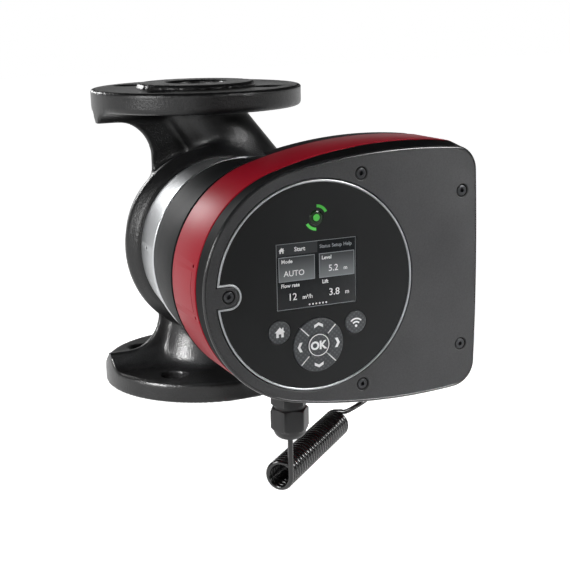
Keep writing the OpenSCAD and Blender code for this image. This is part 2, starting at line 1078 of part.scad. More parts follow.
module gland_locknut() {
  color("#343435")
    at_gland(axis_z - pad_high)
      difference() {
        gland_hexagon(gland_width / 2 + 0.9, 5);
        translate([0, 0, -1])
          cylinder(r = 10, h = 8);
      }
}

module gland_seal() {
  color("#1a1a1a")
    at_gland(seal_low)
      difference() {
        union() {
          cylinder(r = 6.8, h = 15);
          cylinder(r = 9, h = 4);
        }
        translate([0, 0, -1])
          cylinder(r = cord_d / 2, h = 20);
      }
}

module gland_nut() {
  color("#2f2f30")
    difference() {
      union() {
        at_gland(nut_low)
          gland_hexagon(gland_width / 2, nut_top - nut_low);
        at_gland(nut_low - 2.6)
          cylinder(r1 = gland_width / 2 - 4.2, r2 = gland_width / 2 - 2, h = 2.7);
        at_gland(gland_low)
          cylinder(r1 = gland_width / 2 - 8.5, r2 = gland_width / 2 - 4.2, h = 3.9);
      }
      at_gland(seal_low)
        cylinder(r = 9.8, h = 30);
      at_gland(gland_low - 1)
        cylinder(r = cord_d / 2 + 0.6, h = 30);
    }
}

module sensor_body() {
  color("#8e9296")
    in_sensor()
      difference() {
        union() {
          disc(chamber_r - 4, boss_top + 1, 5.9);
          translate([0, 0, boss_top])
            cylinder(r = 12.5, h = 5, $fn = 6);
          disc(boss_top + 4, boss_top + 16, 9);
        }
        disc(boss_top + 13, boss_top + 17, 6);
      }
}

module sensor_oring() {
  color("#1d1d1d")
    in_sensor()
      ring(boss_top - 2, boss_top, 5.9, 7.8);
}

module sensor_clip() {
  color("#c8ccd0")
    in_sensor()
      difference() {
        ring(boss_top + 8, boss_top + 10, 9, 10.4);
        box_slab(0, 20, -4, 4, boss_top + 7, boss_top + 11);
      }
}

module sensor_plug() {
  color("#222223")
    in_sensor() {
      disc(boss_top + 13, boss_top + 17, 5.8);
      disc(boss_top + 16, boss_top + 25, 8.4);
      cone(boss_top + 25, plug_end, 6, 3.6);
    }
}

module cable_from_gland() {
  color("#161616")
    tube(gland_path, cord_d / 2, 8, [1, 0, 0]);
}

module cable_coil() {
  color("#161616")
    tube(coil_path, cord_d / 2, 6, coil_s);
}

module cable_to_sensor() {
  color("#161616")
    tube(sensor_path, cord_d / 2, 8, [0, 0, 1]);
}

pump_housing();
inlet_flange();
inlet_neck();
inlet_chamber();
outlet_duct();
outlet_flange();
housing_web();
neck_ring();
plate_gasket();
bearing_plate();
pump_bearing();
shaft();
impeller();
impeller_nut();
thrust_ring();
rotor();
rotor_can();
can_oring();
far_bearing();
stator_core();
windings();
stator_housing();
clamp_band();
clamp_screw();
rear_casing();
heat_sink();
power_board();
capacitors();
terminal_block();
red_band();
cover_gasket();
front_cover();
cover_screws();
display_panel();
trim_ring();
lcd_display();
status_light();
display_board();
keypad_mat();
home_button();
wireless_button();
ok_button();
up_button();
down_button();
left_button();
right_button();
gland_body();
gland_locknut();
gland_seal();
gland_nut();
sensor_body();
sensor_oring();
sensor_clip();
sensor_plug();
cable_from_gland();
cable_coil();
cable_to_sensor();
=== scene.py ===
import math
import bmesh
import bpy
import numpy as np
import openvdb
from mathutils import Matrix, Vector


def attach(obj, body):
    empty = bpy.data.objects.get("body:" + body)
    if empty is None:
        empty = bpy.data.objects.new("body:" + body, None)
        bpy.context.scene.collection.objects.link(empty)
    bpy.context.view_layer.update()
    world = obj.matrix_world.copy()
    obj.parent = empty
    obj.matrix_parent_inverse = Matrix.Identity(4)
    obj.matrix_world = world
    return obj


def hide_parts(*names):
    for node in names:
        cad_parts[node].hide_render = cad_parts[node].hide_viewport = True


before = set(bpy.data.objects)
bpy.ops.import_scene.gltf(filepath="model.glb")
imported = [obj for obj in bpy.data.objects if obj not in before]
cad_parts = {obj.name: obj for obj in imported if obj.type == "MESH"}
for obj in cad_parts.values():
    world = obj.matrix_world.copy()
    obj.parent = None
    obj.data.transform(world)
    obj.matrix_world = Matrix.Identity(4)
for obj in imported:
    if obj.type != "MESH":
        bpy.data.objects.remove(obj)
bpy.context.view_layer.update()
scene = bpy.context.scene
scene.view_settings.view_transform = "Standard"
print("frame:", len(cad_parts), "nodes")

# places in mm; depths run forward from the pipe axis along the motor axis
axisZ = 107
depth = {"drumStep": 29.6, "volute": 40, "bandBack": 41.9, "bandFront": 84.3, "skirt": 126, "head": 139,
         "red": 140.6, "cover": 181.2, "panel": 193, "front": 196}
front, under = depth["front"], depth["panel"]
fullTurn = 2 * math.pi


# camera, light and floor
camera = {"place": (-299.6, -821.2, 272.3), "yaw": 24.0205, "pitch": 13.3135, "roll": -1.2471,
          "lens": 76.0217, "sensor": 36}
yaw, pitch, roll = (math.radians(camera[k]) for k in ("yaw", "pitch", "roll"))
ahead = Vector((math.sin(yaw) * math.cos(pitch), math.cos(yaw) * math.cos(pitch), -math.sin(pitch)))
level = Vector((math.cos(yaw), -math.sin(yaw), 0))
upward = level.cross(ahead)
camRight = math.cos(roll) * level + math.sin(roll) * upward
camUp = math.cos(roll) * upward - math.sin(roll) * level
camData = bpy.data.cameras.new("photoCamera")
camData.lens, camData.sensor_width = camera["lens"], camera["sensor"]
camObj = bpy.data.objects.new("photoCamera", camData)
scene.collection.objects.link(camObj)
camTurn = Matrix((camRight, camUp, -ahead)).transposed().to_4x4()
camObj.matrix_world = Matrix.Translation(Vector(camera["place"]) / 1000) @ camTurn
scene.camera = camObj


def linear(hexCode):  # sRGB hex to the linear colour that shaders take
    parts = [int(hexCode[i:i + 2], 16) / 255 for i in (1, 3, 5)]
    return [c / 12.92 if c <= 0.04045 else ((c + 0.055) / 1.055) ** 2.4 for c in parts] + [1]


def addNode(tree, kind, inputs=None, **settings):  # one node with its settings and its links
    made = tree.nodes.new(kind)
    for key, value in settings.items():
        setattr(made, key, value)
    for socket, value in (inputs or {}).items():
        if isinstance(value, bpy.types.NodeSocket):
            tree.links.new(value, made.inputs[socket])
        else:
            made.inputs[socket].default_value = value
    return made


lamps = [  # name, place in m, aim in m, width and height in m, watts, spread in degrees
    ("keyLeft", (-1.32, -0.41, 0.55), (-0.02, -0.06, 0.1), (0.36, 0.5), 13, 180),
    ("edgeLeft", (-0.83, -1.42, 0.33), (-0.05, -0.15, 0.12), (0.3, 0.25), 2.4, 180),
    ("gridRight", (0.5, -0.7, 0.42), (0.19, -0.196, 0.1), (0.3, 0.3), 0.44, 32),
    ("frontFill", (0.25, -1.7, 0.5), (0, -0.1, 0.1), (0.9, 0.9), 1.2, 180),
    ("neckLeft", (-0.58, -0.12, 0.22), (-0.028, -0.03, 0.022), (0.08, 0.06), 0.028, 7),
    ("rimLeft", (-0.32, 0.96, 0.49), (-0.04, -0.1, 0.14), (0.3, 0.22), 4, 180),
]
for name, place, aim, size, watts, spread in lamps:
    lampData = bpy.data.lights.new(name, "AREA")
    lampData.shape = "RECTANGLE"
    lampData.size, lampData.size_y = size
    lampData.energy, lampData.spread = watts, math.radians(spread)
    lampObj = bpy.data.objects.new(name, lampData)
    scene.collection.objects.link(lampObj)
    lampObj.location = place
    lampObj.rotation_euler = (Vector(aim) - Vector(place)).to_track_quat("-Z", "Y").to_euler()
    lampObj.visible_camera = False


def backdropShare(tree, inGloss):  # how far white shows: 1 to the camera and in glass, inGloss in reflections
    seen = addNode(tree, "ShaderNodeLightPath")
    isGlossy = seen.outputs["Is Glossy Ray"]
    straight = {0: seen.outputs["Is Camera Ray"], 1: seen.outputs["Is Transmission Ray"]}
    direct = addNode(tree, "ShaderNodeMath", straight, operation="ADD")
    glossy = addNode(tree, "ShaderNodeMath", {0: isGlossy, 1: inGloss}, operation="MULTIPLY")
    share = addNode(tree, "ShaderNodeMath", {0: direct.outputs[0], 1: glossy.outputs[0]},
                    operation="ADD", use_clamp=True)
    return share.outputs[0], isGlossy


# skyline, ceiling and room give where the white fades, as heights and as shares of the way to the back
studio = {"ambient": "#6f7173", "ambientStrength": 0.35, "white": "#ffffff", "skyline": 0.08, "ceiling": 0.22,
          "overhead": 0.03, "backWay": (0.1, 0.95, 0), "roomDark": -0.6, "roomWhite": 0.1, "roomTone": 0.12}
world = bpy.data.worlds.new("whiteStudio")
scene.world = world
world.use_nodes = True
sky = world.node_tree
sky.nodes.clear()
heading = addNode(sky, "ShaderNodeTexCoord").outputs["Generated"]
height = addNode(sky, "ShaderNodeSeparateXYZ", {0: heading})
behind = addNode(sky, "ShaderNodeVectorMath", {0: heading, 1: studio["backWay"]}, operation="DOT_PRODUCT")
# in reflections the backdrop is white behind the pump, and fades to a dark ceiling and a dark room in front
fade = addNode(sky, "ShaderNodeMapRange", {
    "Value": height.outputs["Z"], "From Min": studio["skyline"], "From Max": studio["ceiling"],
    "To Min": 1, "To Max": studio["overhead"]})
room = addNode(sky, "ShaderNodeMapRange", {
    "Value": behind.outputs["Value"], "From Min": studio["roomDark"], "From Max": studio["roomWhite"],
    "To Min": studio["roomTone"], "To Max": 1})
inGloss = addNode(sky, "ShaderNodeMath", {0: fade.outputs[0], 1: room.outputs[0]}, operation="MULTIPLY")
backdrop, mirrored = backdropShare(sky, inGloss.outputs[0])
dimSwitch = addNode(sky, "ShaderNodeMath", {0: 1, 1: mirrored}, operation="SUBTRACT")
dimLevel = addNode(sky, "ShaderNodeMath", {0: dimSwitch.outputs[0], 1: studio["ambientStrength"]},
                   operation="MULTIPLY")
dim = addNode(sky, "ShaderNodeBackground", {
    "Color": linear(studio["ambient"]), "Strength": dimLevel.outputs[0]})
white = addNode(sky, "ShaderNodeBackground", {"Color": linear(studio["white"]), "Strength": 1})
skyMix = addNode(sky, "ShaderNodeMixShader", {0: backdrop, 1: dim.outputs[0], 2: white.outputs[0]})
addNode(sky, "ShaderNodeOutputWorld", {"Surface": skyMix.outputs[0]})

# height and size in mm, at which the hanging spiral clears the floor by about 2 mm; the fades in m
floor = {"height": -37.5, "size": 9000, "colour": "#c9c9c8", "middleX": 0.05, "wedge": 0.85, "dimAt": -0.68,
         "whiteAt": -0.1, "near": 0.04, "liftFrom": 0.35, "liftTo": 1.1, "lift": 0.92}
half = floor["size"] / 2000
corners = [(sx * half, sy * half, floor["height"] / 1000) for sx, sy in ((-1, -1), (1, -1), (1, 1), (-1, 1))]
floorMesh = bpy.data.meshes.new("floor")
floorMesh.from_pydata(corners, [], [(0, 1, 2, 3)])
floorObj = bpy.data.objects.new("floor", floorMesh)
scene.collection.objects.link(floorObj)
paper = bpy.data.materials.new("matt studio paper")  # pale paper that still takes a soft shadow
paper.use_nodes = True
sheet = paper.node_tree
sheet.nodes.clear()
tone = addNode(sheet, "ShaderNodeBsdfDiffuse", {"Color": linear(floor["colour"])})
place = addNode(sheet, "ShaderNodeNewGeometry").outputs["Position"]
spot = addNode(sheet, "ShaderNodeSeparateXYZ", {0: place})
offset = addNode(sheet, "ShaderNodeMath", {0: spot.outputs["X"], 1: floor["middleX"]}, operation="SUBTRACT")
aside = addNode(sheet, "ShaderNodeMath", {0: offset.outputs[0]}, operation="ABSOLUTE")
behind = addNode(sheet, "ShaderNodeMath", {0: aside.outputs[0], 1: floor["wedge"], 2: spot.outputs["Y"]},
                 operation="MULTIPLY_ADD")
# in reflections the paper is white behind and beside the pump and dim in front of it
inGloss = addNode(sheet, "ShaderNodeMapRange", {
    "Value": behind.outputs[0], "From Min": floor["dimAt"], "From Max": floor["whiteAt"],
    "To Min": floor["near"], "To Max": 1})
share, mirrored = backdropShare(sheet, inGloss.outputs[0])
away = addNode(sheet, "ShaderNodeVectorMath", {0: place}, operation="LENGTH")
# far paper runs into the white backdrop without a line
lifted = addNode(sheet, "ShaderNodeMapRange", {
    "Value": away.outputs["Value"], "From Min": floor["liftFrom"], "From Max": floor["liftTo"],
    "To Min": floor["lift"], "To Max": 1})
strength = addNode(sheet, "ShaderNodeMath", {0: share, 1: lifted.outputs[0]}, operation="MULTIPLY")
lift = addNode(sheet, "ShaderNodeEmission", {
    "Color": linear(studio["white"]), "Strength": strength.outputs[0]})
both = addNode(sheet, "ShaderNodeAddShader", {0: tone.outputs[0], 1: lift.outputs[0]})
addNode(sheet, "ShaderNodeOutputMaterial", {"Surface": both.outputs[0]})
floorMesh.materials.append(paper)
print("camera, lamps and floor set")


# materials
def newMaterial(name):
    mat = bpy.data.materials.new(name)
    mat.use_nodes = True
    mat.node_tree.nodes.clear()
    return mat, mat.node_tree, addNode(mat.node_tree, "ShaderNodeTexCoord").outputs["Object"]


def surfaced(mat, inputs):  # the shader with its inputs, as the surface of the material
    shader = addNode(mat.node_tree, "ShaderNodeBsdfPrincipled", inputs)
    addNode(mat.node_tree, "ShaderNodeOutputMaterial", {"Surface": shader.outputs[0]})
    return mat


def grained(name, low, high, grain, relief, rough, metal=0, specular=0.5, patch=30):
    # low and high colour, grain width and height in mm, roughness range, width in mm of the slow variation
    mat, tree, where = newMaterial(name)
    fine = addNode(tree, "ShaderNodeTexNoise", {
        "Vector": where, "Scale": 1000 / grain, "Detail": 3, "Roughness": 0.6})
    slow = addNode(tree, "ShaderNodeTexNoise", {"Vector": where, "Scale": 1000 / patch, "Detail": 2})
    both = addNode(tree, "ShaderNodeMath", {0: fine.outputs[0], 1: slow.outputs[0]}, operation="ADD")
    span = {"Value": both.outputs[0], "From Min": 0.65, "From Max": 1.35}  # where the sum mostly lies
    share = addNode(tree, "ShaderNodeMapRange", span)
    gloss = addNode(tree, "ShaderNodeMapRange", {**span, "To Min": rough[0], "To Max": rough[1]})
    colour = addNode(tree, "ShaderNodeMixRGB", {
        "Fac": share.outputs[0], "Color1": linear(low), "Color2": linear(high)})
    bump = addNode(tree, "ShaderNodeBump", {
        "Height": fine.outputs[0], "Distance": relief / 1000, "Strength": 1})
    return surfaced(mat, {"Base Color": colour.outputs[0], "Roughness": gloss.outputs[0],
                          "Normal": bump.outputs[0], "Metallic": metal, "Specular IOR Level": specular})


finish = {
    # sand cast iron under satin black paint: soft broad gloss broken by the sand's grain
    # the grain is deeper than on a real casting, so that it shows
    "castIron": grained("painted cast iron", "#060606", "#1b1b1c", 1.2, 0.24, (0.27, 0.37),
                        specular=0.45, patch=25),
    # machined steel, left bare: a clear grey shine
    "stainless": grained("machined stainless steel", "#9a9c9e", "#b9bbbd", 0.8, 0.01, (0.24, 0.36), metal=1),
    # zinc plating: a darker and slightly cloudy shine
    "zinc": grained("zinc plated steel", "#8e9092", "#b4b6b8", 1.0, 0.015, (0.26, 0.4), metal=1),
    # die-cast aluminium, powder coated: dark and matt with a fine orange peel
    "darkCoat": grained("powder coated aluminium", "#121314", "#1a1b1c", 0.7, 0.03, (0.48, 0.58),
                        specular=0.08),
    # blasted bare aluminium: dull grey without streaks
    "sinkCoat": grained("bead blasted aluminium", "#3a3b3d", "#4a4b4d", 0.6, 0.03, (0.45, 0.6), metal=0.6),
    # sprayed lacquer on plastic: an even deep red with a weak satin gloss
    "redLacquer": grained("red satin lacquer", "#930c20", "#a00f24", 1.2, 0.006, (0.38, 0.46),
                          specular=0.13, patch=60),
    # ABS from a spark-eroded mould: matt grey with an even texture, coarser than real so that it shows
    "coverPlastic": grained("textured grey ABS", "#373738", "#484849", 1.1, 0.09, (0.38, 0.46),
                            specular=0.36, patch=45),
    # its rounded edge, from a polished part of the mould: coloured darker than the face as painted shade,
    # with one thin line of light
    "coverEdgeShade": grained("polished ABS with painted shade", "#1b1b1c", "#222223", 0.8, 0.004, (0.2, 0.26),
                         specular=0.55, patch=40),
    # the same plastic without the texture, coloured near black as painted shade, so that the side of the
    # cover reads as a dark line
    "coverSideShade": grained("black ABS with painted shade", "#0c0c0d", "#121213", 0.8, 0.01, (0.5, 0.6),
                         specular=0.03, patch=40),
    # printed film: near black, satin and very smooth
    "panelFilm": grained("satin polycarbonate film", "#111213", "#161718", 0.5, 0.004, (0.34, 0.42),
                         specular=0.35, patch=50),
    # plated trim: a thin bright line without a sharp mirror
    "trimMetal": grained("satin chromed trim", "#a9acae", "#c2c5c7", 0.5, 0.004, (0.3, 0.38), metal=0.85),
    # oxide-blackened screws: dark steel with a small glint
    "blackScrew": grained("black oxide steel", "#4c4d4f", "#5f6062", 0.5, 0.01, (0.28, 0.4), metal=0.9),
    # injection moulded nylon: dark with a slight mould sheen
    "nylon": grained("moulded black nylon", "#161617", "#202021", 0.7, 0.02, (0.38, 0.5), specular=0.42),
    # pressed rubber: black and dull
    "rubber": grained("black rubber", "#0c0c0c", "#151515", 0.6, 0.02, (0.6, 0.75), specular=0.3),
    # extruded cable sheath: black and glossy, so that each turn has its light line
    "sheath": grained("extruded polyurethane", "#060606", "#0c0c0c", 1.5, 0.004, (0.12, 0.2),
                      specular=0.65, patch=15),
    # screen print: flat white
    "print": grained("white screen print", "#e6e6e6", "#f2f2f2", 0.4, 0.002, (0.5, 0.6)),
    # polished glass over the display: dark, with clear reflections
    "screen": grained("dark display glass", "#191b1d", "#1f2123", 3, 0, (0.08, 0.12), specular=0.35),
    # lines on the display: plain mid grey
    "screenLine": grained("display line", "#84888b", "#8f9396", 1, 0, (0.3, 0.35)),
    # wound wire in clear enamel: warm brown shine
    "copper": grained("enamelled copper wire", "#8a4a20", "#a85f2c", 0.9, 0.05, (0.3, 0.45), metal=0.9),
    # lapped carbon: black with a soft polish
    "carbon": grained("lapped carbon", "#191a1c", "#232427", 0.4, 0.005, (0.25, 0.35)),
    # moulded plastic with glass fibre: dull straw colour
    "composite": grained("glass-filled plastic", "#8b7c58", "#9c8d66", 0.8, 0.02, (0.42, 0.55)),
    # punched and stacked sheets: grey steel, half dull
    "lamination": grained("stacked electrical steel", "#5c5f63", "#73767a", 0.5, 0.02, (0.35, 0.5), metal=1),
    # solder mask: green with a weak gloss
    "board": grained("green solder mask", "#1f5230", "#276239", 0.9, 0.01, (0.35, 0.45)),
    # moulded polyamide: plain blue
    "terminal": grained("moulded blue polyamide", "#2f5a78", "#3a6a8a", 0.7, 0.02, (0.4, 0.5)),
    # pressed fibre: dark grey and quite dull
    "gasketPaper": grained("pressed fibre gasket", "#2f2f2d", "#3b3b38", 0.8, 0.03, (0.7, 0.85),
                           specular=0.2),
    # smoked lens: dark green while only its middle is lit
    "greenLens": grained("smoked green lens", "#0b2408", "#123210", 0.8, 0.004, (0.12, 0.2), patch=12),
}


def turned():  # turned steel band: fine rings round the motor axis catch long streaks of light
    mat, tree, where = newMaterial("turned satin steel")
    parts = addNode(tree, "ShaderNodeSeparateXYZ", {0: where})
    ringScale = 1000 / 0.8  # tool marks 0.8 mm apart, drawn coarser than the real 0.2 mm so that they show
    cloudScale = 1000 / 14  # gloss varies slowly, over 14 mm
    marks = addNode(tree, "ShaderNodeTexNoise", {"W": parts.outputs["Y"], "Scale": ringScale, "Detail": 2},
                    noise_dimensions="1D")
    cloud = addNode(tree, "ShaderNodeTexNoise", {"Vector": where, "Scale": cloudScale, "Detail": 4})
    colour = addNode(tree, "ShaderNodeMixRGB", {
        "Fac": marks.outputs[0], "Color1": linear("#aeb0b2"), "Color2": linear("#c6c8ca")})
    gloss = addNode(tree, "ShaderNodeMapRange", {
        "Value": cloud.outputs[0], "From Min": 0.3, "From Max": 0.7, "To Min": 0.32, "To Max": 0.36})
    bump = addNode(tree, "ShaderNodeBump", {"Height": marks.outputs[0], "Distance": 0.0001, "Strength": 1})
    return surfaced(mat, {"Base Color": colour.outputs[0], "Roughness": gloss.outputs[0],
                          "Normal": bump.outputs[0], "Metallic": 1})


def hatched():  # printed key film: grey with a fine crossed hatch
    mat, tree, where = newMaterial("hatched grey key film")
    lineScale = 1000 / 1.5 / 3.18  # lines 1.5 mm apart, coarser than the real screen so that they show
    mirror = addNode(tree, "ShaderNodeMapping", {"Vector": where, "Scale": (-1, 1, 1)})
    sets = []
    for way in (where, mirror.outputs[0]):
        waves = {"Vector": way, "Scale": lineScale}
        sets.append(addNode(tree, "ShaderNodeTexWave", waves, bands_direction="DIAGONAL").outputs["Fac"])
    cross = addNode(tree, "ShaderNodeMath", {0: sets[0], 1: sets[1]}, operation="MULTIPLY")
    colour = addNode(tree, "ShaderNodeMixRGB", {
        "Fac": cross.outputs[0], "Color1": linear("#3b3d3f"), "Color2": linear("#56585b")})
    bump = addNode(tree, "ShaderNodeBump", {"Height": cross.outputs[0], "Distance": 0.00002, "Strength": 1})
    return surfaced(mat, {"Base Color": colour.outputs[0], "Normal": bump.outputs[0], "Roughness": 0.45})


def lit(name, low, high, strength, reach):  # a lit face, from low to high tone over reach, mm above the axis
    mat, tree, where = newMaterial(name)
    parts = addNode(tree, "ShaderNodeSeparateXYZ", {0: where})
    share = addNode(tree, "ShaderNodeMapRange", {
        "Value": parts.outputs["Z"], "From Min": (axisZ + reach[0]) / 1000,
        "From Max": (axisZ + reach[1]) / 1000})
    colour = addNode(tree, "ShaderNodeMixRGB", {
        "Fac": share.outputs[0], "Color1": linear(low), "Color2": linear(high)})
    return surfaced(mat, {"Base Color": colour.outputs[0], "Emission Color": colour.outputs[0],
                          "Emission Strength": strength, "Roughness": 0.3})


finish["band"] = turned()
finish["keys"] = hatched()
finish["tile"] = lit("lit display tile", "#707375", "#2a2c2e", 0.1, (4.6, 19.8))  # grey that darkens upward
finish["greenGlow"] = lit("lit green window", "#4fae4a", "#3f9a3b", 0.42, (37, 46))  # an even clear green
print("materials:", len(finish))


# mesh making, in the motor's own frame: x right, y up, d forward, all in mm
def inMotor(p):
    return (p[0] / 1000, -p[2] / 1000, (axisZ + p[1]) / 1000)


def inPart(p):
    return (p[0] / 1000, p[1] / 1000, p[2] / 1000)


def rounded(corners, steps=4):  # a closed outline of (x, y, radius) with its corners rounded
    out = []
    for i, (x, y, r) in enumerate(corners):
        if not r:
            out.append((x, y))
            continue
        a, p, b = (Vector(corners[k % len(corners)][:2]) for k in (i - 1, i, i + 1))
        toA, toB = (a - p).normalized(), (b - p).normalized()
        angle = toA.angle(toB)
        reach = min(r / math.tan(angle / 2), 0.49 * (a - p).length, 0.49 * (b - p).length)
        r = reach * math.tan(angle / 2)
        middle = p + (toA + toB).normalized() * (r / math.sin(angle / 2))
        start, end = p + toA * reach - middle, p + toB * reach - middle
        for k in range(steps + 1):
            out.append(tuple(middle + start.lerp(end, k / steps).normalized() * r))
    return out


def arc(r, start, end, n, centre=(0, 0)):  # n points of an arc, angles in radians
    return [(centre[0] + r * math.cos(a), centre[1] + r * math.sin(a)) for a in np.linspace(start, end, n)]


def disc(r, n, centre=(0, 0)):  # outline of a round with n corners
    return arc(r, 0, fullTurn, n + 1, centre)[:-1]


def bow(r0, r1, start, end, n, centre=(0, 0)):  # outline of a flat arc between two radii
    return arc(r0, start, end, n, centre) + arc(r1, end, start, n, centre)


def loft(rings, loop=False):  # quads from ring to ring; a loop joins last and first, else the ends are capped
    n, verts, faces = len(rings[0]), [p for ring in rings for p in ring], []
    for i in range(len(rings) if loop else len(rings) - 1):
        a, b = i * n, (i + 1) % len(rings) * n
        faces += [(a + k, a + (k + 1) % n, b + (k + 1) % n, b + k) for k in range(n)]
    if not loop:
        faces += [tuple(range(n))[::-1], tuple(range((len(rings) - 1) * n, len(rings) * n))]
    return verts, faces


def atDepth(outline, d):
    return [(x, y, d) for x, y in outline]


def prism(outline, d0, d1):
    return loft([atDepth(outline, d) for d in (d0, d1)])


def box(x0, x1, y0, y1, d0, d1):
    return prism([(x0, y0), (x1, y0), (x1, y1), (x0, y1)], d0, d1)


def circle(r, d, n, centre=(0, 0)):
    turns = [fullTurn * k / n for k in range(n)]
    return [(centre[0] + r * math.cos(a), centre[1] + r * math.sin(a), d) for a in turns]


def hoop(profile, n, centre=(0, 0)):  # a ring turned from a closed profile of (radius, d)
    return loft([circle(r, d, n, centre) for r, d in profile], loop=True)


def bar(corners, n, centre=(0, 0), steps=4):  # turned from (radius, d) or (radius, d, round), axis to axis
    pin = 0.01  # the ends close on a ring this small
    ends = [(pin, corners[i][1], 0) for i in (0, -1)]
    profile = rounded([ends[0], *[(*c, 0)[:3] for c in corners], ends[1]], steps)
    return loft([circle(r, d, n, centre) for r, d in profile])


def hexRings(apothem, steps, n=144, turn=0):  # hexagons trimmed by circles; steps of (circle, d)
    rings = []
    for cap, d in steps:
        ring = []
        for k in range(n):
            a = fullTurn * k / n
            off = (a - math.radians(turn) + math.pi / 6) % (math.pi / 3) - math.pi / 6
            r = min(apothem / math.cos(off), cap)
            ring.append((r * math.cos(a), r * math.sin(a), d))
        rings.append(ring)
    return rings


def drilled(turn, d, r, near, far, n):  # a pin through a shell, square to the motor axis, turn in degrees
    c, s = math.cos(math.radians(turn)), math.sin(math.radians(turn))
    return loft([[(out * c - x * s, out * s + x * c, d + y) for x, y in disc(r, n)] for out in (near, far)])


def joined(*parts):
    verts, faces = [], []
    for v, f in parts:
        faces += [tuple(i + len(verts) for i in face) for face in f]
        verts += list(v)
    return verts, faces


def shifted(part, dx, dy):
    return [(x + dx, y + dy, d) for x, y, d in part[0]], part[1]


def meshOf(part, place=inMotor, name="form"):
    mesh = bpy.data.meshes.new(name)
    mesh.from_pydata([place(p) for p in part[0]], [], part[1])
    work = bmesh.new()
    work.from_mesh(mesh)
    bmesh.ops.remove_doubles(work, verts=work.verts, dist=1e-7)
    bmesh.ops.recalc_face_normals(work, faces=work.faces)
    work.to_mesh(mesh)
    work.free()
    return mesh


def piece(name, form, look, nodes=(), body="pump", place=inMotor, sharp=32):  # form: a mesh or a loft
    mesh = form if isinstance(form, bpy.types.Mesh) else meshOf(form, place, name)
    obj = bpy.data.objects.new(name, mesh)
    scene.collection.objects.link(obj)
    mesh.materials.clear()
    mesh.materials.append(finish[look])
    mesh.shade_smooth()
    mesh.set_sharp_from_angle(angle=math.radians(sharp))
    manySided = 11  # flat faces with this many corners keep one normal
    for face in mesh.polygons:
        face.use_smooth = len(face.vertices) < manySided
    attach(obj, body)
    if nodes:
        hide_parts(*nodes)
    return obj


def carved(mesh, cutters, operation="DIFFERENCE"):  # booleans with a list of cutter meshes
    base = bpy.data.objects.new("work", mesh)
    scene.collection.objects.link(base)
    helpers = []
    for i, cutter in enumerate(cutters):
        helper = bpy.data.objects.new(f"cutter{i}", cutter)
        scene.collection.objects.link(helper)
        helpers.append(helper)
        cut = base.modifiers.new(f"cut{i}", "BOOLEAN")
        cut.object, cut.operation, cut.solver = helper, operation, "EXACT"
    view = bpy.context.evaluated_depsgraph_get()
    done = bpy.data.meshes.new_from_object(base.evaluated_get(view))
    for helper in [base, *helpers]:
        bpy.data.objects.remove(helper)
    return done


def bevelled(mesh, width, segments=2):  # rounds every edge that turns by more than 40 degrees
    work = bmesh.new()
    work.from_mesh(mesh)
    edges = [e for e in work.edges if len(e.link_faces) == 2 and e.calc_face_angle(0) > math.radians(40)]
    bmesh.ops.bevel(work, geom=edges, offset=width / 1000, segments=segments, profile=0.5, affect="EDGES",
                    clamp_overlap=True)
    work.to_mesh(mesh)
    work.free()
    return mesh


# sensor axis: out of the drum to the right, sloping down
sensor = {"slope": 35, "forward": 8, "boss": 74.5, "plug": 106.5}
slope = math.radians(sensor["slope"])
sensorC = Vector((0, -sensor["forward"], axisZ))
sensorU = Vector((math.cos(slope), 0, -math.sin(slope)))


def onSensor(p):  # x and y across, z out along the sensor's axis
    side = Vector((0, 1, 0))
    return tuple((sensorC + sensorU * p[2] + side * p[0] + sensorU.cross(side) * p[1]) / 1000)


# cable: one unbroken cord from the gland through the spiral to the sensor plug
# the heights of its way are from the motor axis
cable = {"thick": 3.4, "glandX": -4.5, "glandD": 162, "start": 22.37, "exitZ": 1.97, "spiralOver": 20,
         "turns": 25.75, "pitch": 4.15, "spiralTurn": 43, "spiralDrop": 27.5, "perTurn": 24, "dropPoints": 14,
         "way": [(80.5, -92.5, -118.4), (90, -90.5, -114.5), (99, -83, -108), (105, -68.5, -99),
                 (107.5, -49, -88.5), (106, -30, -79), (102, -16, -72)]}
spiralTurn = math.radians(cable["spiralTurn"])
along = Vector((math.cos(spiralTurn), math.sin(spiralTurn), 0))
across = Vector((along.y, -along.x, 0))
coilR = (cable["spiralOver"] - cable["thick"]) / 2
dropX, dropY, coilZ = cable["glandX"], -cable["glandD"], cable["exitZ"] - cable["spiralDrop"]
coilC = Vector((dropX, dropY, coilZ)) - coilR * across


def coilAt(t):  # a point of the spiral after t turns
    turn = fullTurn * t
    out = math.cos(turn) * across - math.sin(turn) * Vector((0, 0, 1))
    return coilC + cable["pitch"] * t * along + coilR * out


def bendAt(p0, p1, p2, p3, t):  # a smooth curve from p1 to p2
    return 0.5 * (2 * p1 + (p2 - p0) * t + (2 * p0 - 5 * p1 + 4 * p2 - p3) * t * t
                  + (3 * p1 - p0 - 3 * p2 + p3) * t ** 3)


dropZ = np.linspace(cable["start"], coilZ + cable["thick"], cable["dropPoints"])
line = [Vector((dropX, dropY, z)) for z in dropZ]
line += [coilAt(i / cable["perTurn"]) for i in range(int(cable["turns"] * cable["perTurn"]) + 1)]
outward = Vector((across.x, across.y, 0.12)).normalized()
coilOut = coilAt(cable["turns"]) + cable["thick"] * outward
plugEnd = sensorC + sensor["plug"] * sensorU
way = [coilOut, coilOut + 4 * outward] + [Vector((x, y, axisZ + z)) for x, y, z in cable["way"]]
way += [plugEnd + 7 * sensorU, plugEnd + 2.5 * sensorU, plugEnd]
for i in range(len(way) - 1):
    nearby = [way[min(max(i + k, 0), len(way) - 1)] for k in (-1, 0, 1, 2)]
    line += [bendAt(*nearby, t) for t in (0, 0.2, 0.4, 0.6, 0.8)]
line.append(way[-1])
cableCurve = bpy.data.curves.new("sensor_cable", "CURVE")
cableCurve.dimensions = "3D"
cableCurve.bevel_depth, cableCurve.bevel_resolution = cable["thick"] / 2000, 5
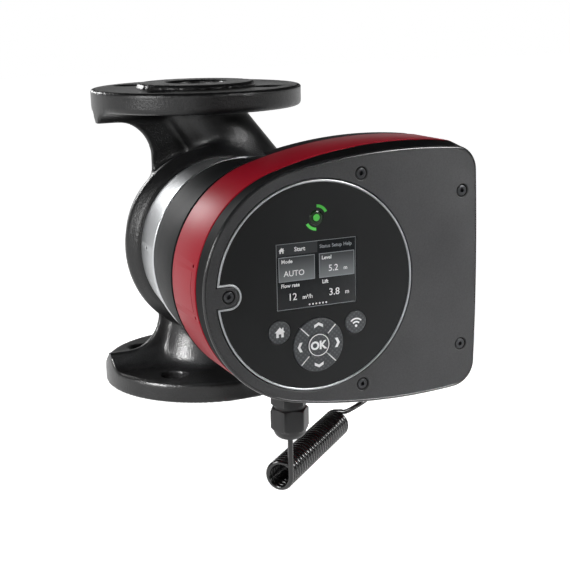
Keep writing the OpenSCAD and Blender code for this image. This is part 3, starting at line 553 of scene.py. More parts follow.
cableCurve.use_fill_caps = True
spline = cableCurve.splines.new("POLY")
spline.points.add(len(line) - 1)
for point, p in zip(spline.points, line):
    point.co = (*inPart(p), 1)
spline.use_smooth = True
cableObj = bpy.data.objects.new("sensor_cable", cableCurve)
scene.collection.objects.link(cableObj)
cableCurve.materials.append(finish["sheath"])
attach(cableObj, "pump")
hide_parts("cable_from_gland", "cable_coil", "cable_to_sensor")


# cast housing: distances to plain solids, blended so that every inside corner gets a casting fillet
cast = {"voxel": 1.4, "margin": 4, "flangeR": 75, "plate": 14.5, "faceR": 42, "face": 3, "neckR": 28,
        "hub": 9.2, "hubTall": 24, "bendBack": 26.4, "bendDrop": 17, "drumR": 67.5, "drumBack": -6,
        "taperFront": 7.3, "taperBack": 11.8, "shoulderR": 50, "shoulderBack": -15, "chamberR": 34,
        "chamberBack": -50, "ductR": 25, "ductTurn": 37.4, "ductIn": 11.6, "ductD": 12.1, "ductX": 6.5,
        "webLeft": 76, "webIn": 36.3, "webArc": 26, "webRise": 10.2, "webBack": -0.8, "webFront": 3.7,
        "footFront": 12, "footBack": -11, "footRight": -20, "bossR": 12, "seatR": 55, "seatLip": 57.3,
        "seatFront": 47}
bores = {"port": 20, "portDeep": 30, "bolt": 9, "boltCircle": 110, "bend": 17, "duct": 15.5, "chamber": 24,
         "volute": 48, "seat": 51, "sensor": 6.2}  # radii, but for the depth and the bolt circle


def castHousing():
    step, top, plate = cast["voxel"], 2 * axisZ, cast["plate"]
    wide, over = cast["flangeR"] + cast["margin"], cast["face"] + cast["margin"]
    spans = ((-wide, wide), (-wide, wide), (-over, top + over))
    x, y, z = (np.arange(lo, hi, step, dtype=np.float32) for lo, hi in spans)
    gx, gy, gz = x[:, None, None], y[None, :, None], z[None, None, :]
    rho, d, v = np.sqrt(gx * gx + gy * gy), -gy, gz - axisZ
    rad = np.sqrt(gx * gx + v * v)

    def roundEdge(a, b, r):  # solid where both walls are inside, its edge rounded
        a, b = a + r, b + r
        return np.minimum(np.maximum(a, b), 0) + np.sqrt(np.maximum(a, 0) ** 2 + np.maximum(b, 0) ** 2) - r

    def slab(g, lo, hi):
        return np.abs(g - (lo + hi) / 2) - (hi - lo) / 2

    def rod(p, q, r):
        dx, dy, dz = (q[i] - p[i] for i in range(3))
        reach = ((gx - p[0]) * dx + (gy - p[1]) * dy + (gz - p[2]) * dz) / (dx * dx + dy * dy + dz * dz)
        t = np.clip(reach, 0, 1)
        return np.sqrt((gx - p[0] - t * dx) ** 2 + (gy - p[1] - t * dy) ** 2 + (gz - p[2] - t * dz) ** 2) - r

    def melt(a, b, k):  # union with a fillet, k is about twice its radius
        h = np.clip(0.5 + 0.5 * (b - a) / k, 0, 1)
        return b + (a - b) * h - k * h * (1 - h)

    # flanges with their raised faces
    flanges = None
    for g in (gz, top - gz):
        part = np.minimum(roundEdge(rho - cast["flangeR"], slab(g, 0, plate - 4), 1.2),
                          roundEdge(rho - cast["flangeR"], slab(g, 3, plate), 3))
        part = np.minimum(part, roundEdge(rho - cast["faceR"], slab(g, -cast["face"], 3), 0.7))
        flanges = part if flanges is None else np.minimum(flanges, part)

    # drum, widest at its step, with a shoulder and the inlet chamber behind it
    def taper(away, fall, run):  # cone that narrows by fall over run, away from the step
        return (away * fall + (rad - cast["drumR"]) * run) / round(math.hypot(fall, run), 1)

    ahead = taper(d - depth["drumStep"], cast["taperFront"], depth["volute"] - depth["drumStep"])
    behind = taper(depth["drumStep"] - d, cast["taperBack"], depth["drumStep"] - cast["drumBack"])
    shape = roundEdge(-melt(-ahead, -behind, 2.4), slab(d, cast["drumBack"], depth["volute"]), 3)
    shape = melt(shape, roundEdge(rad - cast["shoulderR"], slab(d, cast["shoulderBack"], 4), 5), 10)
    shape = melt(shape, roundEdge(rad - cast["chamberR"], slab(d, cast["chamberBack"], 4), 4), 14)

    # inlet neck on its hub, and the suction bend up into the chamber
    hubTop, bendEnd = plate + cast["hubTall"], (0, cast["bendBack"], axisZ - cast["bendDrop"])
    hubSlope = cast["hub"] / cast["hubTall"]
    hubWall = (rho - cast["neckR"] - hubSlope * (hubTop - gz)) / round(math.hypot(1, hubSlope), 2)
    hub = np.maximum(hubWall, slab(gz, 4, hubTop))
    neck = melt(rod((0, 0, 8), (0, 0, axisZ - 58), cast["neckR"]), hub, 6)
    neck = melt(neck, rod((0, 0, plate + 10), bendEnd, cast["neckR"] - 3), 10)
    shape = melt(shape, neck, 10)

    # outlet duct from the drum up to the top flange
    reach, turn = cast["drumR"] - cast["ductIn"], math.radians(cast["ductTurn"])
    ductLow = Vector((reach * math.cos(turn), -cast["ductD"], axisZ + reach * math.sin(turn)))
    ductTop = Vector((cast["ductX"], -2, top - plate - 8))
    duct = rod(ductTop + 0.5 * (ductTop - ductLow), ductLow, cast["ductR"])
    duct = np.maximum(duct, gz - (top - plate + 3))
    shape = np.maximum(melt(shape, duct, 8), d - depth["volute"] + 0.2)
    shape = melt(shape, flanges, 7)

    # flat web on the left, with sloped feet to each flange
    webLow = plate + cast["webRise"]
    webHigh = top - webLow + 2.8
    hollow = roundEdge(gx + cast["webIn"], slab(gz, webLow, webHigh), cast["webArc"])
    web = np.maximum(np.maximum(gx, -cast["webLeft"] - gx), slab(gz, plate - 4, top - plate + 4))
    web = roundEdge(np.maximum(web, -hollow), slab(d, cast["webBack"], cast["webFront"]), 1.4)
    run, back = cast["footFront"] - cast["webFront"], cast["webBack"] - cast["footBack"]
    for g, crest in ((gz, webLow), (top - gz, top - webHigh)):
        rise = crest - plate
        foot = np.maximum(((d - cast["footFront"]) * rise + (g - plate) * run) / math.hypot(rise, run),
                          ((cast["footBack"] - d) * rise + (g - plate) * back) / math.hypot(rise, back))
        foot = np.maximum(foot, slab(g, plate - 6, crest))
        web = melt(web, np.maximum(foot, slab(gx, -cast["webLeft"], cast["footRight"])), 3)
    shape = np.maximum(melt(shape, web, 4.5), rho - cast["flangeR"])

    # sensor boss, and the seat for the clamp band
    out = gx * sensorU.x + v * sensorU.z
    aside = np.sqrt(np.maximum(gx * gx + (gy + sensor["forward"]) ** 2 + v * v - out * out, 0))
    boss = roundEdge(aside - cast["bossR"], slab(out, cast["drumR"] - 14, cast["drumR"] + 7), 1)
    shape = melt(shape, boss, 6)
    for seatR, seatBack in ((cast["seatR"], 36), (cast["seatLip"], 44.3)):
        shape = np.minimum(shape, roundEdge(rad - seatR, slab(d, seatBack, cast["seatFront"]), 0.5))

    # bolt holes and ports with softened mouths, then the passages
    c = bores["boltCircle"] / 2 * math.sqrt(0.5)
    hole = np.sqrt((np.abs(gx) - c) ** 2 + (np.abs(gy) - c) ** 2) - bores["bolt"]
    hole = np.maximum(hole, np.minimum(slab(gz, -2, plate + 6), slab(gz, top - plate - 6, top + 2)))
    port = np.maximum(rho - bores["port"], np.minimum(slab(gz, -8, plate), slab(gz, top - plate, top + 8)))
    for mouth in (hole, port):
        shape = -melt(-shape, mouth, 1.2)
    throatLow = slab(gz, plate - 1, bores["portDeep"] - 3)
    throatHigh = slab(gz, top + 3 - bores["portDeep"], top - plate + 1)
    hollows = [np.maximum(rho - bores["port"] + 1, np.minimum(throatLow, throatHigh)),
               rod((0, 0, plate + 2), bendEnd, bores["bend"]),
               rod(ductTop + Vector((-3, 0, 4)), ductLow, bores["duct"]),
               np.maximum(aside - bores["sensor"], slab(out, 40, 80))]
    for name, back, fore in (("chamber", -42, 10), ("volute", 9, 35), ("seat", 34, 48)):
        hollows.append(np.maximum(rad - bores[name], slab(d, back, fore)))
    for hollow in hollows:
        shape = np.maximum(shape, -hollow)

    grid = openvdb.FloatGrid(9.0)
    grid.copyFromArray(np.array(np.broadcast_to(shape, (len(x), len(y), len(z))), dtype=np.float32))
    points, quads = grid.convertToQuads(0.0)
    points = (points * step + np.array((x[0], y[0], z[0]))) / 1000
    mesh = bpy.data.meshes.new("pump_housing_cast")
    mesh.from_pydata(points.tolist(), [], quads.tolist())
    work = bmesh.new()
    work.from_mesh(mesh)
    bmesh.ops.recalc_face_normals(work, faces=work.faces)
    work.to_mesh(mesh)
    work.free()
    return mesh


castNodes = ["pump_housing", "inlet_flange", "inlet_neck", "inlet_chamber", "outlet_duct", "outlet_flange",
             "housing_web"]
housingObj = piece("cast_housing", castHousing(), "castIron", castNodes, sharp=50)
print("housing:", len(housingObj.data.polygons), "faces")


# clamp band with its lugs, and the stator cone in front of it
band = {"back": 59.7, "front": 64.1, "lip": 65.1, "lipLong": 2.2, "wall": 2.8, "lipWall": 3.4, "lugTurn": -52,
        "lugHalf": 9, "lugOut": 76.6, "slot": 1.2, "screwOut": 70.1, "screwD": 12, "screwR": 3.2,
        "drainTurn": 175, "drainD": 59.9, "drainR": 1.1}
b0, b1 = depth["bandBack"], depth["bandFront"]
lipBack = b1 - band["lipLong"]
lugTurn = math.radians(band["lugTurn"])


def atLug(p):  # x out from the band, y round it, d forward
    x, y, d = p
    c, s = math.cos(lugTurn), math.sin(lugTurn)
    return inMotor((x * c - y * s, x * s + y * c, d))


def lugScrew(p):  # z along the screw, x out from the band, y forward
    return atLug((band["screwOut"] + p[0], -p[2], b0 + band["screwD"] + p[1]))


bandProfile = rounded([(band["back"] - band["wall"], b0, 0.4), (band["back"], b0, 0.8),
                       (band["front"], lipBack - 1.2, 0.5), (band["lip"], lipBack, 0.5),
                       (band["lip"], b1, 0.6), (band["lip"] - band["lipWall"], b1, 0.4)], 3)
lugBox = box(band["back"] - 1, band["lugOut"], -band["lugHalf"], band["lugHalf"], b0 + 4, b0 + 20)
lug = bevelled(meshOf(lugBox, atLug), 1.2, segments=3)
drainTurn = math.radians(band["drainTurn"])
drainRings = [[(out * math.cos(drainTurn), out * math.sin(drainTurn) + x, band["drainD"] + y)
               for x, y in disc(band["drainR"], 24)] for out in (52, 70)]
bandCuts = [meshOf(box(50, 80, -band["slot"], band["slot"], b0 - 2, b1 + 2), atLug),
            meshOf(prism(disc(band["screwR"], 32), -12, 12), lugScrew),
            meshOf(loft(drainRings))]
bandMesh = carved(meshOf(hoop(bandProfile, 192)), [lug], "UNION")
piece("clamp_band_turned", carved(bandMesh, bandCuts), "band", ["clamp_band"])

screwHead = meshOf(bar([(5, 9, 0.3), (5, 15, 0.9)], 48, steps=3), lugScrew)
hexSocket = meshOf(loft(hexRings(2.5, [(9, 12), (9, 16)], n=24)), lugScrew)
piece("clamp_screw_head", carved(screwHead, [hexSocket]), "zinc", ["clamp_screw"])
screwBar = bar([(2.6, -15), (3, -14.4), (3, 10)], 32)
screwNut = loft(hexRings(4.85, [(4.9, -14), (5.6, -13.4), (5.6, -9.6), (4.9, -9)]))
piece("clamp_screw_bar", joined(screwBar, screwNut), "zinc", place=lugScrew)

cone = {"back": 64.6, "front": 71.7, "wall": 4, "gap": 0.15}
coneBack = b1 + cone["gap"]
coneProfile = rounded([(cone["back"] - cone["wall"], coneBack, 0.4), (cone["back"], coneBack, 0.9),
                       (cone["front"], depth["head"], 0.6),
                       (cone["front"] - cone["wall"], depth["head"], 0.4)], 3)
piece("stator_cone", hoop(coneProfile, 192), "darkCoat", ["stator_housing"])
print("motor made")


# control head: one outline for the face and a rounder one, with a higher crown, for the shells behind it
# face and rear give the radius of the left round and the rise of the crown above it
head = {"reach": 112.2, "corner": 16.5, "wall": 3, "sides": 15, "crownAt": 0.56, "face": (72.7, 6.3),
        "rear": (71.4, 9.7)}


def headArcs(radius, rise):  # right side, corner, upper edge and left round: centre, radius, angles, steps
    crown, crownX = radius + rise, head["crownAt"] * head["reach"]
    edgeR = (crown ** 2 + crownX ** 2 - radius ** 2) / (2 * rise)
    edgeC = Vector((crownX, crown - edgeR))
    sideR = head["sides"] * head["reach"]
    sideC = Vector((head["reach"] - sideR, 0))
    gap = sideC - edgeC
    ra, rb = edgeR - head["corner"], sideR - head["corner"]
    alongGap = (ra * ra - rb * rb + gap.length_squared) / (2 * gap.length)
    overGap = math.sqrt(ra * ra - alongGap * alongGap)
    unit = gap.normalized()
    cornerC = edgeC + alongGap * unit + overGap * Vector((unit.y, -unit.x))
    atSide = math.atan2(cornerC.y - sideC.y, cornerC.x - sideC.x)
    atEdge = math.atan2(cornerC.y - edgeC.y, cornerC.x - edgeC.x)
    atLeft = math.atan2(-edgeC.y, -edgeC.x)
    return ((sideC, sideR, 0, atSide, 6), (cornerC, head["corner"], atSide, atEdge, 14),
            (edgeC, edgeR, atEdge, atLeft, 26), (Vector((0, 0)), radius, atLeft, math.pi, 48))


faceArcs, rearArcs = headArcs(*head["face"]), headArcs(*head["rear"])


def headRing(inset, d, arcs=rearArcs):
    half = []
    for c, r, a0, a1, n in arcs:
        for i in range(1 if half else 0, n + 1):
            a = a0 + (a1 - a0) * i / n
            half.append((c.x + (r - inset) * math.cos(a), c.y + (r - inset) * math.sin(a), d))
    return half + [(x, -y, d) for x, y, d in half[-2:0:-1]]


def headSolid(profile, arcs=rearArcs):  # profile of (inset, d) from back to front
    return loft([headRing(*p, arcs) for p in profile])


def headShell(profile):  # closed loop of (inset, d), or of (inset, d, arcs)
    return loft([headRing(*p) for p in profile], loop=True)


def edge(inset, d, r, forward, steps=4):  # quarter round at a head shell's edge, from side to flat
    turns = np.linspace(0, math.pi / 2, steps + 1)
    return [(inset + r - r * math.cos(a), d - forward * (r - r * math.sin(a))) for a in turns]


# rear casing: a plate behind the red band, with a skirt where the head overhangs the motor
rear = {"inset": 0.45, "edge": 2.2, "clear": 72.2, "chamfer": 0.3}
skirtBack, redBack = depth["skirt"], depth["red"]
rearProfile = edge(rear["inset"], skirtBack, rear["edge"], -1)[::-1]
rearProfile += [(rear["inset"], redBack - rear["chamfer"]), (rear["inset"] + rear["chamfer"], redBack)]
rearCut = bar([(rear["clear"] + 2, skirtBack - 5), (rear["clear"] + 2, skirtBack),
               (rear["clear"] + 0.6, skirtBack + 1.4), (rear["clear"], depth["head"])], 192)
rearMesh = carved(meshOf(headSolid(rearProfile)), [meshOf(rearCut)])
piece("rear_casing_shell", rearMesh, "darkCoat", ["rear_casing"])

# heat sink: fins behind the skirt
sink = {"left": 78, "right": 106.2, "half": 52, "base": 3, "fins": 9, "firstFin": -51, "pitch": 12.5,
        "finWide": 2, "tall": 19}
finParts = [box(sink["left"], sink["right"], -sink["half"], sink["half"],
                skirtBack - sink["base"], skirtBack)]
for i in range(sink["fins"]):
    low = sink["firstFin"] + i * sink["pitch"]
    finParts.append(box(sink["left"] + 1, sink["right"] - 1, low, low + sink["finWide"],
                        skirtBack - sink["tall"], skirtBack - 2))
piece("heat_sink_fins", bevelled(meshOf(joined(*finParts)), 0.5), "sinkCoat", ["heat_sink"])

# red band: soft edges, a slit between two pin holes on the left, and the flat pad for the gland
# pins gives the turn in degrees and the depth of each hole
red = {"inset": 0, "edge": 0.6, "wall": 3.4, "pins": ((167.2, 174.8), (192.4, 175.4)), "pinR": 1.15,
       "slit": 0.6, "slitClear": 2.6, "slitDrop": 0.9, "slitSag": 0.7, "padR": 12.6, "padDeep": 11,
       "padHole": 10.2}
glandSeat = 76.13  # below the motor axis
redFront = depth["cover"] - 0.7


def inGland(p):  # x right, y forward, z down from the motor axis, at the gland
    return inMotor((cable["glandX"] + p[0], -p[2], cable["glandD"] + p[1]))


redProfile = edge(red["inset"], redBack, red["edge"], -1)[::-1] + edge(red["inset"], redFront, red["edge"], 1)
redProfile += [(red["wall"], redFront), (red["wall"], redBack)]
redCuts = [meshOf(bar([(red["padHole"], 55), (red["padHole"], 80)], 64), inGland)]
redCuts += [meshOf(drilled(turn, d, red["pinR"], 69.6, 74, 16)) for turn, d in red["pins"]]
(a0, d0), (a1, d1) = red["pins"]
slitRings = []
for share in (i / 12 for i in range(13)):
    a = math.radians(a0 + red["slitClear"] + (a1 - a0 - 2 * red["slitClear"]) * share)
    d = d0 - red["slitDrop"] + (d1 - d0) * share - red["slitSag"] * math.sin(math.pi * share)
    slitRings.append([(r * math.cos(a), r * math.sin(a), d + s * red["slit"] / 2)
                      for r, s in ((70.6, -1), (73, -1), (73, 1), (70.6, 1))])
redCuts.append(meshOf(loft(slitRings)))
pad = bar([(red["padR"], glandSeat - red["padDeep"]), (red["padR"], glandSeat - 0.5),
           (red["padR"] - 0.5, glandSeat)], 64)
redMesh = carved(meshOf(headShell(redProfile)), [meshOf(pad, inGland)], "UNION")
piece("red_band_lacquered", carved(redMesh, redCuts), "redLacquer", ["red_band"])

coverBack = depth["cover"]
sealProfile = [(1, redFront), (1, coverBack), (3, coverBack), (3, redFront)]
piece("cover_seal", headShell(sealProfile), "rubber", ["cover_gasket"])

# front cover: rounded rim, round opening with a tab for the left screw, five screw wells
cover = {"rim": 1.6, "inset": 0.7, "lean": 0.1, "openR": 64.4, "tab": 6.1, "wellR": 4.2, "wellDeep": 4.5,
         "lip": 0.45, "seam": 194.2}
screwX = 56.2
screwAt = [(-screwX, 0), (30, 65), (30, -65), (99.9, 49), (99.9, -49)]


def notched(steps, loop=False):  # circles of (radius, half width, d), notched round the left screw
    rings = []
    for r, h, d in steps:
        start = math.asin(h / r)
        ring = arc(r, -math.pi + start, math.pi - start, 180)
        notch = arc(h, math.pi / 2, -math.pi / 2, 24, (-screwX, 0))
        rings.append(atDepth(ring + notch, d))
    return loft(rings, loop)


def softHole(r, at, deep, lip, bend, n):  # cutter for a hole in the front with a softened mouth
    return meshOf(bar([(r, front - deep), (r, front - lip), (r + bend, front - bend), (r + lip, front),
                       (r + lip, front + 1)], n, at))


# its side, coloured near black as painted shade, leans in from the red band's outline to the face's
seam, leanTop, wallIn = cover["seam"], cover["inset"] + cover["lean"], head["wall"] + 1
skirt = headShell([(0.5, coverBack), (0.25, coverBack + 0.35), (leanTop, seam, faceArcs),
                   (wallIn, seam, faceArcs), (wallIn, coverBack)])
piece("cover_side_shade", skirt, "coverSideShade")
# rounded edge of the face, coloured darker than the face as painted shade
rimEnd = cover["inset"] + cover["rim"]
rim = [(leanTop, seam), *edge(cover["inset"], front, cover["rim"], 1, 8),
       (rimEnd + 0.12, front - 0.06), (rimEnd + 0.12, seam)]
piece("cover_edge_shaded", headShell([(*p, faceArcs) for p in rim]), "coverEdgeShade")
coverMesh = meshOf(headSolid([(head["wall"], under - 0.2), (head["wall"] + 0.01, seam), (rimEnd + 0.16, seam),
                              (rimEnd + 0.16, front - 0.08), (rimEnd + 0.24, front)], faceArcs))
openR, tab, lip = cover["openR"], cover["tab"], cover["lip"]
opening = notched([(openR, tab, under - 1), (openR, tab, front - lip),
                   (openR + lip * 0.3, tab - lip * 0.3, front - lip * 0.3),
                   (openR + lip, tab - lip, front + 0.01), (openR + lip, tab - lip, front + 1)])
coverCuts = [meshOf(opening)]
coverCuts += [softHole(cover["wellR"], at, cover["wellDeep"], 0.4, 0.12, 48) for at in screwAt]
piece("front_cover_shell", carved(coverMesh, coverCuts), "coverPlastic", ["front_cover"])

# black cup washers in the wells, lining the gap round each screw as painted shade, and six-lobe screws
screws = {"cupR": 5.4, "cupOut": 4.18, "cupIn": 3.2, "headR": 3.18, "sunk": 0.5, "socketR": 1.35,
          "lobe": 0.24}
shadeCup = [(screws["cupR"], front - 5.2), (screws["cupR"], front - 4.6), (screws["cupOut"], front - 4.6),
          (screws["cupOut"], front - 1), (screws["cupIn"], front - 1.3), (screws["cupIn"], front - 4.4)]
piece("screw_gap_shade_cups", joined(*[bar(shadeCup, 48, at) for at in screwAt]), "rubber")
lobes = []
for a in np.linspace(0, fullTurn, 73)[:-1]:
    r = screws["socketR"] + screws["lobe"] * math.cos(6 * a)
    lobes.append((r * math.cos(a), r * math.sin(a)))
screwTop = front - screws["sunk"]
oneScrew = bar([(screws["headR"], front - 4.38, 0.2), (screws["headR"], screwTop, 0.8), (1.9, screwTop)], 48)
oneScrew = carved(meshOf(oneScrew), [meshOf(prism(lobes, front - 3.4, front))])
screwSet = bmesh.new()
for x, y in screwAt:
    copy = oneScrew.copy()
    copy.transform(Matrix.Translation((x / 1000, 0, y / 1000)))
    screwSet.from_mesh(copy)
screwMesh = bpy.data.meshes.new("cover_screws")
screwSet.to_mesh(screwMesh)
screwSet.free()
piece("cover_screw_heads", screwMesh, "blackScrew", ["cover_screws"])
print("head shells made")


# round panel with its trim ring, display, light and keys
panel = {"r": 62.4, "notch": 7.8, "trimOut": 63.7, "trimIn": 62.5, "notchOut": 6.5, "notchIn": 7.7,
         "trimProud": 0.4, "deep": 4, "lip": 0.3, "bend": 0.08}
screen = {"half": 26.3, "low": -12.5, "high": 27.9, "front": 195.4, "gap": 0.15, "film": 0.03}
keys = {"sideX": 25.2, "sideY": -25, "sideR": 6.9, "padY": -35.8, "padR": 16.4, "okR": 7.3, "gap": 0.3,
        "top": 196.8, "split": 0.35, "dish": 0.12, "okProud": 0.2}
light = {"y": 41.4, "r": 4.4, "dot": 2.1, "arcIn": 6, "arcOut": 7.7, "arcs": [(26, 88), (209, 268)]}
padAt, lightAt = (0, keys["padY"]), (0, light["y"])
panelForm = notched([(panel["r"], panel["notch"], under), (panel["r"], panel["notch"], front - 0.3),
                     (panel["r"] - 0.1, panel["notch"] + 0.1, front - 0.08),
                     (panel["r"] - 0.3, panel["notch"] + 0.3, front)])
window = box(-screen["half"], screen["half"], screen["low"], screen["high"], front - panel["deep"], front + 1)
panelCuts = [meshOf(window)]
homeAt, wirelessAt = (-keys["sideX"], keys["sideY"]), (keys["sideX"], keys["sideY"])
sideHole, padHole = keys["sideR"] + keys["gap"], keys["padR"] + keys["gap"]
for r, at in ((light["r"] + 0.1, lightAt), (sideHole, homeAt), (sideHole, wirelessAt), (padHole, padAt)):
    panelCuts.append(softHole(r, at, panel["deep"], panel["lip"], panel["bend"], 72))
piece("panel_film", carved(meshOf(panelForm), panelCuts), "panelFilm", ["display_panel"])

# trim ring with a rounded top, from outside to inside
trimMid, trimHalf = 0.5 * (panel["trimOut"] + panel["trimIn"]), 0.5 * (panel["trimOut"] - panel["trimIn"])
notchMid, trimTop = 0.5 * (panel["notchOut"] + panel["notchIn"]), front + panel["trimProud"]
trimSteps = [(panel["trimOut"], panel["notchOut"], under)]
for turn in np.linspace(0, math.pi, 7):
    off = trimHalf * math.cos(turn)
    trimSteps.append((trimMid + off, notchMid - off, trimTop - trimHalf * 0.6 * (1 - math.sin(turn))))
trimSteps.append((panel["trimIn"], panel["notchIn"], under))
piece("trim_ring_bright", notched(trimSteps, loop=True), "trimMetal", ["trim_ring"])

# display: glass, tiles, frame lines and plain figures
glassTop, film = screen["front"], screen["film"]
tileTop, glassX = glassTop + film, screen["half"] - screen["gap"]
glass = box(-glassX, glassX, screen["low"] + screen["gap"], screen["high"] - screen["gap"],
            front - 8.8, glassTop)
piece("display_glass_plate", bevelled(meshOf(glass), 0.15), "screen", ["lcd_display"])


def plate(x0, x1, y0, y1, low):
    return box(x0, x1, y0, y1, low, low + film)


def border(x0, x1, y0, y1, w, low):
    return joined(plate(x0, x1, y0, y0 + w, low), plate(x0, x1, y1 - w, y1, low),
                  plate(x0, x0 + w, y0 + w, y1 - w, low), plate(x1 - w, x1, y0 + w, y1 - w, low))


def words(text, size, x, y, low, bold=0.04):  # flat figures in the built-in face; bold in mm on each side
    halfInk = 0.02
    curve = bpy.data.curves.new("figures", "FONT")
    curve.body, curve.size, curve.offset = text, size, bold
    curve.extrude, curve.resolution_u = halfInk, 3
    holder = bpy.data.objects.new("figures", curve)
    scene.collection.objects.link(holder)
    mesh = bpy.data.meshes.new_from_object(holder.evaluated_get(bpy.context.evaluated_depsgraph_get()))
    bpy.data.objects.remove(holder)
    wide = max(v.co.x for v in mesh.vertices) + min(v.co.x for v in mesh.vertices)
    verts = [(v.co.x - wide / 2 + x, v.co.y + y, v.co.z + halfInk + low) for v in mesh.vertices]
    return verts, [tuple(p.vertices) for p in mesh.polygons]


tiles = {"left": (-24.6, -1.2), "right": (1.6, 24.9), "y": (4.8, 19.6), "bar": (20.6, 27.2)}
sides = (tiles["left"], tiles["right"])
tileParts = [plate(*side, *tiles["y"], glassTop) for side in sides]
tileParts.append(plate(-glassX + 0.5, 0.6, *tiles["bar"], glassTop))
piece("display_tiles", joined(*tileParts), "tile")
lineParts = [border(*side, *tiles["y"], 0.4, tileTop) for side in sides]
lineParts.append(border(-glassX + 0.1, glassX - 0.1, screen["low"] + 0.3, screen["high"] - 0.3, 0.35,
                        glassTop))
for text, x in (("Status", 5.6), ("Setup", 13.4), ("Help", 20.6)):
    lineParts.append(words(text, 2.9, x, 22.9, glassTop, 0.06))
piece("display_lines", joined(*lineParts), "screenLine")
house = [(-3.3, 0.1), (0, 3.3), (1.5, 1.85), (1.5, 2.9), (2.3, 2.9), (2.3, 1.05), (3.3, 0.1), (2.4, 0.1),
         (2.4, -2.9), (0.8, -2.9), (0.8, -0.9), (-0.8, -0.9), (-0.8, -2.9), (-2.4, -2.9), (-2.4, 0.1)]
ink = 0.04  # height of printed signs
smallHouse = prism([(x * 0.55, y * 0.55) for x, y in house], tileTop, tileTop + ink)
figures = [
    words("AUTO", 4.8, -14.8, 8, tileTop), words("5.2", 5.4, 11, 8.4, tileTop),
    words("m", 3.4, 19, 8.4, tileTop), words("12", 6, -15.5, -6.6, glassTop),
    words("m³/h", 3.6, -6.2, -6.6, glassTop), words("3.8", 6, 11.5, -6.4, glassTop),
    words("m", 3.6, 20, -6.4, glassTop),
    words("Start", 3.6, -10.8, 22.6, tileTop, 0.08), words("Mode", 3.1, -19.2, 15.9, tileTop, 0.07),
    words("Level", 3.1, 6.6, 15.9, tileTop, 0.07), words("Flow rate", 3.1, -17.2, 1.4, glassTop, 0.07),
    words("Lift", 3.1, 5.6, 1.4, glassTop, 0.07), shifted(smallHouse, -22.5, 23.6)]
figures += [prism(disc(0.55, 8, (-5 + 2.2 * i, -10.4)), glassTop, glassTop + ink) for i in range(6)]
piece("display_figures", joined(*figures), "print")

# status light: a lens with a lit dot, and two lit arcs beside it
lens = bar([(5.6, under - 3, 0.2), (5.6, under, 0.2), (light["r"], under), (light["r"], front - 0.4, 0.5),
            (light["r"] - 1.2, front + 0.15, 1.2), (0.01, front + 0.3)], 64, lightAt)
piece("green_light_lens", lens, "greenLens", ["status_light"])
glow = [bar([(light["dot"], front), (light["dot"], front + 0.36, 0.1)], 40, lightAt, steps=3)]
for start, end in light["arcs"]:
    outline = bow(light["arcIn"], light["arcOut"], math.radians(start), math.radians(end), 17, lightAt)
    glow.append(prism(outline, front - 0.1, front + 0.06))
piece("green_light_glow", joined(*glow), "greenGlow")

# keys: softened tops, with their signs printed on
keyTop, dishTop = keys["top"], keys["top"] - keys["dish"]
sideR, okR, okTop = keys["sideR"], keys["okR"], keys["top"] + keys["okProud"]
sideProfile = [(sideR + 1.1, under - 2, 0.15), (sideR + 1.1, under - 0.3, 0.15), (sideR, under - 0.3),
               (sideR, keyTop, 0.7), (sideR - 1.6, dishTop, 0.8)]
for name, at in (("home", homeAt), ("wireless", wirelessAt)):
    button = f"{name}_button"
    piece(f"{name}_key", bar(sideProfile, 72, at), "keys", [button], button)
okProfile = [(okR + 1.4, under - 2.8, 0.15), (okR + 1.4, under - 1.7, 0.15), (okR, under - 1.7),
             (okR, okTop, 0.5)]
piece("ok_key", bar(okProfile, 72, padAt), "keys", ["ok_button"], "ok_button")
ringOut, ringIn = okR - 0.45, okR - 0.95
okRing = hoop([(ringIn, okTop), (ringOut, okTop), (ringOut, okTop + ink), (ringIn, okTop + ink)], 72, padAt)
okWord = words("OK", 6.9, 0, keys["padY"] - 2.45, okTop, 0.3)
piece("ok_sign", joined(okWord, okRing), "print", body="ok_button")


def onPad(points, turn):  # points turned by degrees about the middle of the direction pad
    c, s = math.cos(math.radians(turn)), math.sin(math.radians(turn))
    return [(x * c - y * s, x * s + y * c + keys["padY"], *rest) for x, y, *rest in points]


def armOutline(inset, shoulder=0):  # one arm of the direction pad, pointing right
    inner, outer = okR + keys["gap"] + inset, keys["padR"] - inset + shoulder
    split = keys["split"] + inset
    a1, a2 = math.pi / 4 - math.asin(split / inner), math.pi / 4 - math.asin(split / outer)
    return arc(outer, -a2, a2, 25) + arc(inner, a1, -a1, 17)


armSteps = [(0, under - 0.6), (0, keyTop - 0.6), (0.1, keyTop - 0.2), (0.35, keyTop - 0.05), (0.7, keyTop)]
armVerts, armFaces = joined(loft([atDepth(armOutline(inset), d) for inset, d in armSteps]),
                            prism(armOutline(0.25, 1.75), under - 1.9, under - 0.35))
chevronAt = 0.5 * (okR + keys["padR"]) + 0.2
chevron = [(-1.35, 2.95), (0.45, 2.95), (1.95, 0), (0.45, -2.95), (-1.35, -2.95), (0.15, 0)]
for name, turn in (("right", 0), ("up", 90), ("left", 180), ("down", 270)):
    button = f"{name}_button"
    piece(f"{name}_key", (onPad(armVerts, turn), armFaces), "keys", [button], button)
    arrow = onPad([(x + chevronAt, y) for x, y in chevron], turn)
    piece(f"{name}_sign", prism(arrow, keyTop, keyTop + ink), "print", body=button)

